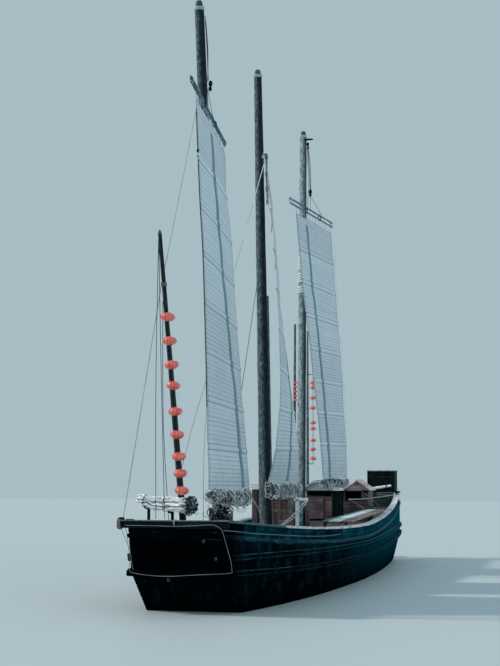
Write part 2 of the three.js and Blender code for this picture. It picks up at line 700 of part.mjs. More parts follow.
// The boards that close the space under the stern floor: thickness, and room to the bulwark and the cap
const STERN_BULKHEAD = { thick: 50, foot: 25, head: 15 };
const STERN_BOX = { x: [-20, 1060], y: [11560, 12240], top: 4140, lid: 40, over: 20 };
const STERN_ROLL = { x: [130, 1130], y: 11420, r: 85 };

// What stands on deck abaft the mizzen mast.
function aftGear() {
  const [near, far] = SIDE_PLANKS;
  const boards = loft(
    SIDE_PLANKS.map(({ y, x, z }) => [
      [x[0], y, z],
      [x[0], y, z + PLANKS.thick],
      [x[1], y, z + PLANKS.thick],
      [x[1], y, z],
    ]),
  );
  const legs = PLANKS.legs.map((share) => {
    const y = mix(near.y, far.y, share);
    const along = [y - PLANKS.leg, y + PLANKS.leg];
    const x = near.x[0] + PLANKS.leg + 5;
    return box([x - PLANKS.leg, x + PLANKS.leg], along, [deckUnder(along), mix(near.z, far.z, share) + 20]);
  });
  add("side_planks", fuse(boards, ...legs), "rail");

  const floor = STERN_FLOOR;
  const floorLow = atY("sheer", floor.y[1])[2] + RAIL.thick + REST;
  const floorTop = floorLow + floor.thick;
  add("stern_floor", box([-floor.half, floor.half], floor.y, [floorLow, floorTop]), "rail");

  const front = floor.y[0];
  const footHalf = atY("deck", front)[0] - HULL.plank - STERN_BULKHEAD.foot;
  const [sheerHalf, , sheerHigh] = atY("sheer", front);
  const headHalf = sheerHalf + RAIL.out - RAIL.wide - STERN_BULKHEAD.head;
  const footHigh = deckAt(front + STERN_BULKHEAD.thick);
  const closing = [front, front + STERN_BULKHEAD.thick].map((y) => [
    [-footHalf, y, footHigh],
    [footHalf, y, footHigh],
    [headHalf, y, sheerHigh],
    [headHalf, y, floorLow - GAP],
    [-headHalf, y, floorLow - GAP],
    [-headHalf, y, sheerHigh],
  ]);
  add("stern_bulkhead", loft(closing), "house");

  const lidLow = STERN_BOX.top;
  const lidX = [STERN_BOX.x[0] - STERN_BOX.over, STERN_BOX.x[1] + STERN_BOX.over];
  const lidY = [STERN_BOX.y[0] - STERN_BOX.over, STERN_BOX.y[1] + STERN_BOX.over];
  const chest = box(STERN_BOX.x, STERN_BOX.y, [floorTop + GAP, lidLow + 5]);
  add("stern_box", fuse(chest, box(lidX, lidY, [lidLow, lidLow + STERN_BOX.lid])), "house");

  const { x, y, r } = STERN_ROLL;
  const z = floorTop + GAP + r;
  add("stern_roll", spar([x[0], y, z], [x[1], y, z], [r, r], 12), "rail");
}

// The rudder hangs on the stern in its raised place, above the level of the bottom.
const RUDDER = { y: 12950, top: 4050, blade: [260, 1500], thick: 90, stock: 85, fore: 12700, aft: 13900 };
const TILLER = { reach: 570, tail: 100, rise: 20, r: [60, 40] };

function rudder() {
  const { top } = RUDDER;
  const stock = spar([0, RUDDER.y, RUDDER.blade[0]], [0, RUDDER.y, top], [RUDDER.stock, RUDDER.stock], 14);
  const blade = box([-RUDDER.thick / 2, RUDDER.thick / 2], [RUDDER.fore, RUDDER.aft], RUDDER.blade);
  add("rudder", fuse(stock, blade), "hull");
  const z = top + TILLER.r[0] + GAP;
  const tiller = spar([0, RUDDER.y + TILLER.tail, z], [0, RUDDER.y - TILLER.reach, z + TILLER.rise], TILLER.r, 10);
  add("tiller", tiller, "spar");
}

hull();
bulwarks();
wales();
ends();
masts();
sails();
lanterns();
bowStay();
deckhouse();
hatches();
stowedSail();
deckGear();
aftGear();
rudder();

export default part;
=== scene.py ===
"""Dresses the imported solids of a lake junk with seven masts: planks, cloth, spars, ropes and lanterns.

Metres, in the frame of the solids: -Y is the bow, +X is port and +Z is up.
"""

import random
from itertools import product
from math import cos, hypot, pi, radians, sin, tan

import bmesh
import bpy
import numpy as np
from mathutils import Matrix, Vector, noise


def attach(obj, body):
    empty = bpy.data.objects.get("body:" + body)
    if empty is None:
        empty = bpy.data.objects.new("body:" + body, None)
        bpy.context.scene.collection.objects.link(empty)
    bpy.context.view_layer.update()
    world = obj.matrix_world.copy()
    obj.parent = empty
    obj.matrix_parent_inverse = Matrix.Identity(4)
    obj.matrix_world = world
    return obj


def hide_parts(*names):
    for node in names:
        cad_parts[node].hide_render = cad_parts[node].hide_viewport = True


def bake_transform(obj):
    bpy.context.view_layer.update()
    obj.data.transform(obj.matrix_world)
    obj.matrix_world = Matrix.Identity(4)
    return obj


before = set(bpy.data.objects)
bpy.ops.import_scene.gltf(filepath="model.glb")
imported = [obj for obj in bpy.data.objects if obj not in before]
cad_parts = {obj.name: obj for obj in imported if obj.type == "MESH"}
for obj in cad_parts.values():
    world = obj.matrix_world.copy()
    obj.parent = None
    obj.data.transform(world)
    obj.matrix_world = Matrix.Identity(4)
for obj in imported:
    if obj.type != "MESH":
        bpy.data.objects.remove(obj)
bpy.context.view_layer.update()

WATERLINE = 0.65

# The hull's lengthwise lines: y of both ends, then z and half beam at bow, middle and stern
LINES = {
    "bottom": ((-9.5, 9.5), (0, 0, 0), (0.9, 1.48, 0.76)),
    "bilge": ((-10.35, 10.65), (0.3, 0.3, 0.33), (1.09, 1.76, 0.9)),
    "water": ((-11.0, 11.5), (0.65, 0.65, 0.72), (1.217, 1.93, 1.01)),
    "wale": ((-11.94, 12.05), (1.63, 1.48, 1.74), (1.28, 2.2, 1.185)),
    "deck": ((-12.32, 12.4), (2.45, 2.0, 2.84), (1.2, 2.29, 1.13)),
    "sheer": ((-12.52, 12.5), (2.87, 2.42, 3.26), (1.165, 2.32, 1.06)),
}
LEVELS = ["bottom", "bilge", "water", "wale", "deck"]
MIDDLE = 0.46
BEAM_CURVE = (2.7, 1.7)
RISE_CURVE = (2.2, 1.45)
PLANK = 0.08
RAIL = {"out": 0.055, "wide": 0.21, "thick": 0.06}
REST = 0.004
SIDES = (("port", 1), ("starboard", -1))

# Masts: foot on the deck, rake in degrees with aft positive, top, and radii at foot and top
MASTS = {
    "bow_lantern_mast": {"foot": (0.05, -11.9), "rake": -15.1, "top": 9.6, "r": (0.088, 0.044)},
    "fore_mast": {"foot": (0, -8.72), "rake": -8.4, "top": 16.1, "r": (0.185, 0.118)},
    "main_mast": {"foot": (0, -3.96), "rake": -4.6, "top": 15.9, "r": (0.195, 0.112), "lean": -0.06},
    "mizzen_mast": {"foot": (-0.21, 0.99), "rake": 2.4, "top": 15.65, "r": (0.152, 0.112)},
    "side_mast": {"foot": (-1.78, 3.1), "rake": -3, "top": 10.2, "r": (0.075, 0.042)},
    "quarter_mast": {"foot": (-1.63, 5.8), "rake": 2, "top": 9.56, "r": (0.07, 0.04)},
    "stern_lantern_mast": {"foot": (-1.48, 7.3), "rake": 1, "top": 9.43, "r": (0.062, 0.032)},
}

# Sails, foot first. Each row: heights at luff and leech, their distances aft of the mast's axis, swing,
# and how much further from the mast it stands than the sail's offset.
# yard: a row like the others, with a second spar below it by twin.
# battens: the lowest's and the highest's height at the luff, and how much higher each is at the leech.
# hang: how deep the gathered foot is, fore and aft. boom: its ends, as distances aft of the mast's axis.
# strip: how far across the cloth the painted shadow of the mast runs, at several heights, and its width
# there.
SAILS = {
    "fore": {
        "mast": "fore_mast", "offset": 0.33,
        "rows": [
            ((3.62, 3.58), (-2.99, 2.8), 6, 0),
            ((6.95, 7.33), (-2.62, 1.9), 6, 0),
            ((9.33, 9.95), (-2.48, 1.48), 6, 0),
            ((10.79, 11.42), (-2.4, 0.92), 5, 0),
            ((13.0, 12.36), (-2.36, 0.91), 5, 0),
        ],
        "yard": ((13.39, 12.72), (-2.85, 1.1), 5, 0), "twin": 0.1,
        "battens": ((4.65, 11.61), (-0.02, -0.33)),
        "hang": (0.24, 0.35), "boom": (-3.09, 2.87),
        "strip": [
            (3.62, 0.79, 0.5), (4.9, 0.765, 0.42), (5.95, 0.727, 0.37), (7.0, 0.68, 0.33), (8.5, 0.585, 0.3),
            (9.95, 0.5, 0.27), (11.4, 0.475, 0.25), (12.5, 0.42, 0.2),
        ],
    },
    "main": {
        "mast": "main_mast", "offset": 0.4,
        "rows": [
            ((3.76, 3.74), (-1.55, 3.0), 2.5, -0.03),
            ((4.73, 4.8), (-1.6, 2.85), 5.5, 0.15),
            ((5.9, 5.96), (-1.65, 2.75), 8.4, 0.2),
            ((7.0, 7.12), (-1.7, 2.65), 11, 0.18),
            ((8.95, 9.07), (-1.7, 2.4), 13.6, 0.06),
            ((9.91, 9.99), (-1.7, 2.25), 13.9, 0.02),
            ((12.45, 12.2), (-1.75, 1.95), 14.5, -0.16),
        ],
        "yard": ((12.91, 12.46), (-2.05, 2.3), 14.7, -0.2), "twin": 0.1,
        "battens": ((4.73, 11.5), (0.07, -0.06)),
        "hang": (0.36, 0.37), "boom": (-1.6, 3.06),
        "strip": [
            (3.76, 0.545, 0.34), (4.2, 0.555, 0.33), (5.05, 0.58, 0.32), (6.1, 0.69, 0.34), (7.0, 0.76, 0.38),
            (7.7, 0.86, 0.34), (8.3, 0.94, 0.3),
        ],
    },
    "mizzen": {
        "mast": "mizzen_mast", "offset": 0.38,
        "rows": [
            ((3.9, 3.89), (1.03, 4.72), -1, 0.09),
            ((5.0, 5.5), (0.745, 4.45), -1, 0.09),
            ((8.1, 8.45), (-0.655, 3.7), -1, 0.06),
            ((10.06, 10.62), (-1.6, 3.035), -1, 0.03),
            ((12.34, 12.5), (-2.34, 2.515), -1, 0),
        ],
        "yard": ((12.7, 12.91), (-3.135, 2.77), -1, 0), "twin": 0.14,
        "battens": ((5.03, 11.28), (0.06, 0.175)),
        "hang": (0.28, 0.29), "boom": (0.93, 4.76),
        "strip": [
            (3.9, 0.238, 0.3), (5.85, 0.247, 0.27), (7.2, 0.265, 0.25), (9.5, 0.26, 0.23), (12.2, 0.245, 0.2),
        ],
    },
}
SAIL = {"belly": 0.035, "battens": 7, "pocket": 0.14, "lines": 9, "spar": 0.032}


# Lines and places of the hull, masts and sails

def mix(a, b, share):
    return a + (b - a) * share


def mix_all(a, b, share):
    return tuple(mix(p, q, share) for p, q in zip(a, b))


def swept(values, t, curve):
    """A value given at bow, middle and stern, read at t from 0 at the bow to 1 at the stern."""
    if t < MIDDLE:
        return mix(values[1], values[0], ((MIDDLE - t) / MIDDLE) ** curve[0])
    return mix(values[1], values[2], ((t - MIDDLE) / (1 - MIDDLE)) ** curve[1])


def on_line(line, t):
    """Half beam, y and z of a line at t."""
    (bow, stern), z, x = LINES[line]
    return swept(x, t, BEAM_CURVE), mix(bow, stern, t), swept(z, t, RISE_CURVE)


def between(low, high, share, t):
    """A point between two lines at t. The share is one number, or one each for bow, middle and stern."""
    if isinstance(share, tuple):
        share = swept(share, t, RISE_CURVE)
    return mix_all(on_line(low, t), on_line(high, t), share)


def stretch(places, value):
    """Which stretch between rising places a value is in, and how far along it."""
    i = min(len(places) - 2, max(0, sum(place <= value for place in places) - 1))
    return i, (value - places[i]) / (places[i + 1] - places[i])


def spaced(a, b, count):
    """Values evenly from a to b, with both ends."""
    return [mix(a, b, i / count) for i in range(count + 1)]


def turns_of(sides):
    """Angles evenly round a circle."""
    return [2 * pi * j / sides for j in range(sides)]


def parts_of(low, high, count, before=0.0, after=0.0):
    """Equal parts of a length, each cut short by a gap before and after it."""
    edges = spaced(low, high, count)
    return [(a + before, b - after) for a, b in zip(edges, edges[1:])]


def at_y(line, y):
    bow, stern = LINES[line][0]
    return on_line(line, (y - bow) / (stern - bow))


def deck_at(y):
    return at_y("deck", y)[2] + REST


def rail_top(y):
    return at_y("sheer", y)[2] + RAIL["thick"]


def heel_of(mast):
    return at_y("deck", mast["foot"][1])[2] + mast["r"][0] * abs(sin(radians(mast["rake"]))) + 0.025


def on_mast(name, z, x=0.0, y=0.0):
    """The mast's axis at a height, moved by x and y."""
    mast = MASTS[name]
    along = tan(radians(mast["rake"])) * (z - heel_of(mast))
    return Vector((mast["foot"][0] + x, mast["foot"][1] + along + y, z))


def radius_at(name, z):
    mast = MASTS[name]
    low = heel_of(mast)
    return mix(*mast["r"], (z - low) / (mast["top"] - low))


def on_sail(sail, row, share, out=0.0, belly=True):
    """A point of a sail's row, share from luff to leech and out from the row's own curve."""
    z, u, swing, stand = row
    height, aft = mix(*z, share), mix(*u, share)
    axis = on_mast(sail["mast"], height)
    a = radians(swing)
    away = sail["offset"] + stand + out + (SAIL["belly"] * sin(pi * share) if belly else 0)
    return Vector((
        axis.x + away * cos(a) - aft * sin(a),
        axis.y + away * sin(a) + aft * cos(a),
        height,
    ))


def row_at(sail, heights):
    """The row that meets luff and leech at two heights."""
    rows = sail["rows"]

    def read(end, value):
        i, part = stretch([row[0][end] for row in rows], heights[end])
        return mix(value(rows[i]), value(rows[i + 1]), part)

    u = (read(0, lambda r: r[1][0]), read(1, lambda r: r[1][1]))
    return heights, u, read(0, lambda r: r[2]), read(0, lambda r: r[3])


def batten_heights(sail):
    """Heights at luff and leech of the foot, each batten and the head."""
    (first, last), (low_rise, high_rise) = sail["battens"]
    count = SAIL["battens"]
    middle = []
    for i in range(count):
        share = i / (count - 1)
        luff = mix(first, last, share)
        middle.append((luff, luff + mix(low_rise, high_rise, share)))
    return [sail["rows"][0][0], *middle, sail["rows"][-1][0]]


# Finishes

NOISE_RANGE = {1: 0.3, 2: 0.7}  # where nearly all of a noise's values lie


def linear(code):
    """The linear colour of an sRGB hex value."""
    parts = [int(code[i:i + 2], 16) / 255 for i in (1, 3, 5)]
    return [c / 12.92 if c <= 0.04045 else ((c + 0.055) / 1.055) ** 2.4 for c in parts] + [1.0]


def feed(tree, made, inputs):
    """Fills a node's inputs with values, or with links from outputs or from other nodes' first outputs."""
    for key, value in inputs.items():
        if isinstance(value, bpy.types.Node):
            value = value.outputs[0]
        if isinstance(value, bpy.types.NodeSocket):
            tree.links.new(value, made.inputs[key])
        else:
            made.inputs[key].default_value = value


def node(tree, kind, inputs=None, stops=None, **settings):
    """Adds a node: settings are its own values, inputs are fed to it, stops fill its ramp."""
    made = tree.nodes.new(kind)
    for key, value in settings.items():
        setattr(made, key, value)
    feed(tree, made, inputs or {})
    for i, (place, colour) in enumerate(stops or []):
        points = made.color_ramp.elements
        point = points[i] if i < 2 else points.new(place)
        point.position = place
        point.color = linear(colour)
    return made


def material(name):
    """A new material, its tree, its shader and the object's own coordinates."""
    made = bpy.data.materials.new(name)
    made.use_nodes = True
    tree = made.node_tree
    place = node(tree, "ShaderNodeTexCoord").outputs["Object"]
    return made, tree, tree.nodes["Principled BSDF"], place


def tinted(tree, colour, by, amount=0.5):
    """The colour made darker or lighter by a value between -1 and 1."""
    level = node(tree, "ShaderNodeMath", {0: by, 1: amount, 2: 1.0}, operation="MULTIPLY_ADD")
    grey = node(tree, "ShaderNodeCombineColor", {0: level, 1: level, 2: level})
    made = node(tree, "ShaderNodeMix", {0: 1.0, 6: colour, 7: grey}, data_type="RGBA", blend_type="MULTIPLY")
    return made.outputs[2]


def blotched(tree, colour, pattern, amount):
    """The colour made uneven by a noise."""
    by = node(tree, "ShaderNodeMapRange", {0: pattern, **NOISE_RANGE, 3: -1.0, 4: 1.0})
    return tinted(tree, colour, by, amount)


def timber(name, colours, grain, blotch=1.5, rough=(0.5, 0.75), bump=0.3, depth=0.004, spread=0.45, gloss=0.4,
           zones=()):
    """Wood with its grain stretched along the smallest of the three grain scales.

    colours are the grain's dark, middle and light. Each zone is an axis, where it starts and ends,
    how far the wood has taken on a colour at both, and that colour."""
    made, tree, shader, place = material(name)
    stretched = node(tree, "ShaderNodeMapping", {"Vector": place, "Scale": grain})
    grainy = {"Vector": stretched, "Scale": 1.0, "Detail": 8.0, "Roughness": 0.65}
    fine = node(tree, "ShaderNodeTexNoise", grainy)
    patchy = {"Vector": place, "Scale": blotch, "Detail": 4.0, "Roughness": 0.6}
    broad = node(tree, "ShaderNodeTexNoise", patchy)
    wood = node(tree, "ShaderNodeValToRGB", {0: fine}, stops=zip((0.3, 0.5, 0.7), colours.split()))
    wood = blotched(tree, wood, broad, spread)
    wood = tinted(tree, wood, node(tree, "ShaderNodeAttribute", attribute_name="tone").outputs["Fac"])
    # Zones tint the wood; those on the masts and house boards are painted shade.
    for axis, start, end, low, high, colour in zones:
        along = node(tree, "ShaderNodeSeparateXYZ", {0: place}).outputs[axis]
        taken = node(tree, "ShaderNodeMapRange", {0: along, 1: start, 2: end, 3: low, 4: high})
        zone_tint_and_shade = {0: taken, 6: wood, 7: linear(colour)}
        wood = node(tree, "ShaderNodeMix", zone_tint_and_shade, data_type="RGBA").outputs[2]
    relief = node(tree, "ShaderNodeBump", {"Height": fine, "Strength": bump, "Distance": depth})
    worn = node(tree, "ShaderNodeMapRange", {0: broad, **NOISE_RANGE, 3: rough[0], 4: rough[1]})
    feed(tree, shader, {"Base Color": wood, "Roughness": worn, "Specular IOR Level": gloss, "Normal": relief})
    return made


def canvas(name, base, soiled, line):
    """Cotton cloth. A point's tone is its panel's shade, and its mark says how much it is a sewn line; on
    gathered cloth they paint shade into the folds and creases.
    """
    made, tree, shader, place = material(name)
    patchy = {"Vector": place, "Scale": 0.9, "Detail": 5.0, "Roughness": 0.6}
    stains = node(tree, "ShaderNodeTexNoise", patchy)
    worn = node(tree, "ShaderNodeMapRange", {0: stains, 1: 0.42, 2: 0.75, 3: 0.0, 4: 0.7})
    cloth = node(tree, "ShaderNodeMix", {0: worn, 6: linear(base), 7: linear(soiled)}, data_type="RGBA")
    tone = node(tree, "ShaderNodeAttribute", attribute_name="tone").outputs["Fac"]
    colour = tinted(tree, cloth.outputs[2], tone, 0.35)
    mark = node(tree, "ShaderNodeAttribute", attribute_name="mark").outputs["Fac"]
    seams_and_crease_shade = node(tree, "ShaderNodeMix", {0: mark, 6: colour, 7: linear(line)}, data_type="RGBA").outputs[2]
    # The real threads are 1 mm apart; 12 mm is the finest that shows at this size.
    threads = node(tree, "ShaderNodeTexNoise", {"Vector": place, "Scale": 80.0, "Detail": 2.0})
    relief = node(tree, "ShaderNodeBump", {"Height": threads, "Strength": 0.25, "Distance": 0.003})
    feed(tree, shader, {"Base Color": seams_and_crease_shade, "Roughness": 0.9, "Sheen Weight": 0.15, "Normal": relief})
    return made


def laid_rope(name, base, groove):
    """Three-strand rope: its UV runs once round and along, so the strands are slanting bands."""
    made, tree, shader, place = material(name)
    uv = node(tree, "ShaderNodeUVMap", uv_map="UVMap")
    parts = node(tree, "ShaderNodeSeparateXYZ", {0: uv})
    strands = {0: parts.outputs[0], 1: 3.0, 2: parts.outputs[1]}
    slant = node(tree, "ShaderNodeMath", strands, operation="MULTIPLY_ADD")
    strand = node(tree, "ShaderNodeMath", {0: slant, 1: 0.5}, operation="PINGPONG")
    stops = [(0.02, groove), (0.3, base)]
    colour = node(tree, "ShaderNodeValToRGB", {0: strand}, stops=stops)
    dirt = node(tree, "ShaderNodeTexNoise", {"Vector": place, "Scale": 3.0, "Detail": 3.0})
    dirty = blotched(tree, colour, dirt, 0.3)
    relief = node(tree, "ShaderNodeBump", {"Height": strand, "Strength": 0.8, "Distance": 0.006})
    feed(tree, shader, {"Base Color": dirty, "Roughness": 0.85, "Normal": relief})
    return made


def lantern_silk(name):
    """Red cloth over bamboo ribs, faded in patches."""
    made, tree, shader, place = material(name)
    mark = node(tree, "ShaderNodeAttribute", attribute_name="mark").outputs["Fac"]
    fade = node(tree, "ShaderNodeTexNoise", {"Vector": place, "Scale": 9.0, "Detail": 3.0})
    stops = [(0.35, "#f4453c"), (0.65, "#ff8f80")]
    red = node(tree, "ShaderNodeValToRGB", {0: fade}, stops=stops)
    ribbed = node(tree, "ShaderNodeMix", {0: mark, 6: red, 7: linear("#b02c2e")}, data_type="RGBA").outputs[2]
    feed(tree, shader, {"Base Color": ribbed, "Roughness": 0.22, "Coat Weight": 0.6, "Coat Roughness": 0.12})
    return made


def worked_metal(name, colour, rough):
    """Forged or pressed metal with an uneven, rubbed surface."""
    made, tree, shader, place = material(name)
    rubbed = node(tree, "ShaderNodeTexNoise", {"Vector": place, "Scale": 30.0, "Detail": 4.0})
    base = blotched(tree, linear(colour), rubbed, 0.35)
    worn = node(tree, "ShaderNodeMapRange", {0: rubbed, **NOISE_RANGE, 3: rough, 4: rough + 0.2})
    feed(tree, shader, {"Base Color": base, "Roughness": worn, "Metallic": 1.0})
    return made


# Grain scales are cycles in a metre, so 34 is a figure about 30 mm wide and 1.6 one about 60 cm long.
ALONG = (34.0, 1.6, 34.0)
UP = (34.0, 34.0, 1.6)
ACROSS = (1.6, 34.0, 34.0)
MOTTLED = (24.0, 24.0, 7.0)
SPAR_GRAIN = (14.0, 1.2, 14.0)
# The tar is darker near the water and over the bow, and has faded towards the quarters.
TAR_ZONES = ((1, -6.0, 5.0, 0.0, 0.72, "#0b5563"), (2, WATERLINE, 2.1, 0.92, 0.0, "#010203"),
             (1, -12.0, -11.2, 0.95, 0.0, "#010304"))
# The masts' port sides are painted near black: painted shade for the side away from the sun.
MAST_PAINTED_SHADE = [(0, -0.05, 0.05, 0.0, 0.9, "#03151d")]
FINISH = {
    # Fir tarred over and over: near black at the foot and teal higher up, streaked by run-off
    "tar": timber("tarred_fir_planks", "#010203 #04141a #0e3640", (7.0, 2.0, 0.8), 0.8, (0.55, 0.75),
                  0.35, 0.006, 0.5, 0.0, TAR_ZONES),
    # The same tar on the bulwarks, weathered to a dull teal
    "topside": timber("weathered_tarred_fir", "#020a0d #083039 #1b5663", (12.0, 1.2, 3.0), 0.9, (0.5, 0.7),
                      0.35, 0.006, 0.6, 0.0, TAR_ZONES),
    "beam": timber("tarred_bow_beam", "#010304 #051216 #16343c", ACROSS, 1.4, (0.5, 0.7), gloss=0.05),
    # Paler strips along strakes and wales, showing their grain: painted highlight where their edges catch the
    # light
    "strake": timber("tarred_strakes_painted_highlight", "#03161c #0d3d49 #2f7280", (16.0, 1.0, 12.0), 1.1, (0.45, 0.65),
                     gloss=0.03, zones=TAR_ZONES),
    # Bare camphor rail, weathered to a pinkish grey
    "rail": timber("weathered_camphor_rail", "#888b92 #c8c6cd #eee9ee", ALONG, 1.6, (0.6, 0.85), spread=0.35),
    "dark_rail": timber("tarred_rail", "#0a2328 #1c474f #356670", ALONG, 1.2, (0.4, 0.6)),
    # Deck of oiled fir, scrubbed and dry
    "deck": timber("scrubbed_fir_deck", "#27211f #4b403c #736761", ALONG, 0.9, (0.6, 0.85)),
    # Mast poles with the bark's marks left on: mottled grey and pink with dark knots
    "mast": timber("peeled_cedar_pole", "#18262d #4c5e66 #8f9da3", MOTTLED, 9.0, (0.6, 0.85),
                   0.5, 0.01, 0.35, 0.15, MAST_PAINTED_SHADE),
    # The mizzen's port part is darkened the same way: painted shade.
    "pale_mast": timber("bleached_cedar_pole", "#3f4e55 #8b9aa1 #c3cdd1", MOTTLED, 9.0, (0.6, 0.85),
                        0.5, 0.01, 0.3, 0.15, [(0, -0.2, -0.1, 0.0, 0.9, "#0a1c24")]),
    "mast_cap": timber("dark_mast_cap", "#14272d #33494f #5f757a", UP, 3.0),
    "mast_ring": timber("painted_mast_ring", "#7f949b #9db0b5 #bccacd", (9.0, 9.0, 9.0), 4.0, spread=0.2),
    # Yards and booms of oiled fir and bamboo, weathered to a grey teal
    "yard": timber("oiled_fir_yard", "#0e3341 #2f6678 #7fb0bd", SPAR_GRAIN, 2.0, (0.4, 0.6)),
    "bamboo": timber("weathered_bamboo", "#5f7078 #87979d #a9b6ba", SPAR_GRAIN, 2.0, (0.45, 0.65)),
    # House boards of varnished fir gone pinkish brown, and the painted roofs
    # The boards darken to near black towards port, past x 0.15: painted shade.
    "house": timber("varnished_fir_boards", "#2f2629 #6a5659 #9a8382", (1.8, 1.8, 30.0), 1.4, (0.4, 0.65),
                    zones=[(0, 0.15, 0.4, 0.0, 0.72, "#0c1114")]),
    "cheek": timber("oiled_mast_cheeks", "#171518 #433a40 #6f6267", UP, 1.6, (0.5, 0.75)),
    # Near-black boards for frames, walls and boxes in shadow: painted shade.
    "shade_wood": timber("dark_boards_painted_shade", "#020609 #071318 #17292f", UP, 2.0, (0.5, 0.7), gloss=0.06),
    "roof": timber("painted_roof_boards", "#a5898a #d2b7b4 #ecd9d4", ALONG, 1.6, (0.5, 0.75), spread=0.3),
    "pale_roof": timber("sun_bleached_roof_boards", "#a9bcc4 #cbd8de #e6eef0", ALONG, 1.6, (0.5, 0.75),
                        spread=0.25),
    "dark_gear": timber("damp_hardwood", "#101d22 #22343a #3f545b", ACROSS, 2.0, (0.5, 0.8), gloss=0.15),
    "gear": timber("worn_hardwood", "#2b3235 #5f6668 #949a9b", UP, 2.0, (0.5, 0.8)),
    # Spare planks with their old paint, pale and pinkish
    "bench": timber("faded_painted_planks", "#54474a #83706c #a5938d", ALONG, 1.6, (0.5, 0.75), spread=0.3),
    "post_paint": timber("chipped_white_post", "#5a7882 #b4c5ca #e6eef0", (40.0, 40.0, 1.2), 2.0, spread=0.2),
    "teal_paint": timber("teal_painted_board", "#1b4a4c #2f6a6c #4f8a8b", ALONG, 2.2, (0.4, 0.6)),
    # Cotton sailcloth, tanned to a cool grey, with darker stitching
    "sail": canvas("grey_cotton_sailcloth", "#cdd9df", "#bfccd4", "#5a7079"),
    # The shadow strip's cloth is darker blue: painted shadow of the mast through the sail.
    "strip": canvas("blue_sailcloth_painted_mast_shadow", "#67959f", "#5a8894", "#3a6476"),
    # The gathered cloth is the sail's cotton painted dark for the shade inside its folds, and its line colour
    # is painted shade in the creases; the white cloth's line colour is painted crease shade too.
    "gathered": canvas("gathered_sailcloth_painted_shade", "#46555c", "#172227", "#030709"),
    "white_cloth": canvas("white_cotton_cloth", "#f4f6f8", "#dfe4ea", "#31404d"),
    "pale_rope": laid_rope("weathered_hemp_rope", "#c4c2bb", "#6d6a64"),
    "sail_cord": laid_rope("bleached_cotton_cord", "#e6eff2", "#9caab0"),
    "grey_rope": laid_rope("grey_cotton_rope", "#8fa0a6", "#4a5a60"),
    "teal_rope": laid_rope("weathered_tarred_rope", "#56808c", "#264550"),
    "bolt_rope": laid_rope("brown_bolt_rope", "#3b3a3c", "#15191b"),
    "dark_rope": laid_rope("tarred_hemp_rope", "#1b3640", "#08151a"),
    "silk": lantern_silk("red_lantern_silk"),
    "gilt": worked_metal("pressed_gilt_brass", "#d9a441", 0.35),
    "iron": worked_metal("forged_iron", "#1a2023", 0.5),
    # Painted shade for the open holds.
    "hold": timber("painted_hold_shade", "#020303 #050708 #0a0d0e", ALONG, 2.0, (0.8, 0.95)),
}


# Shapes

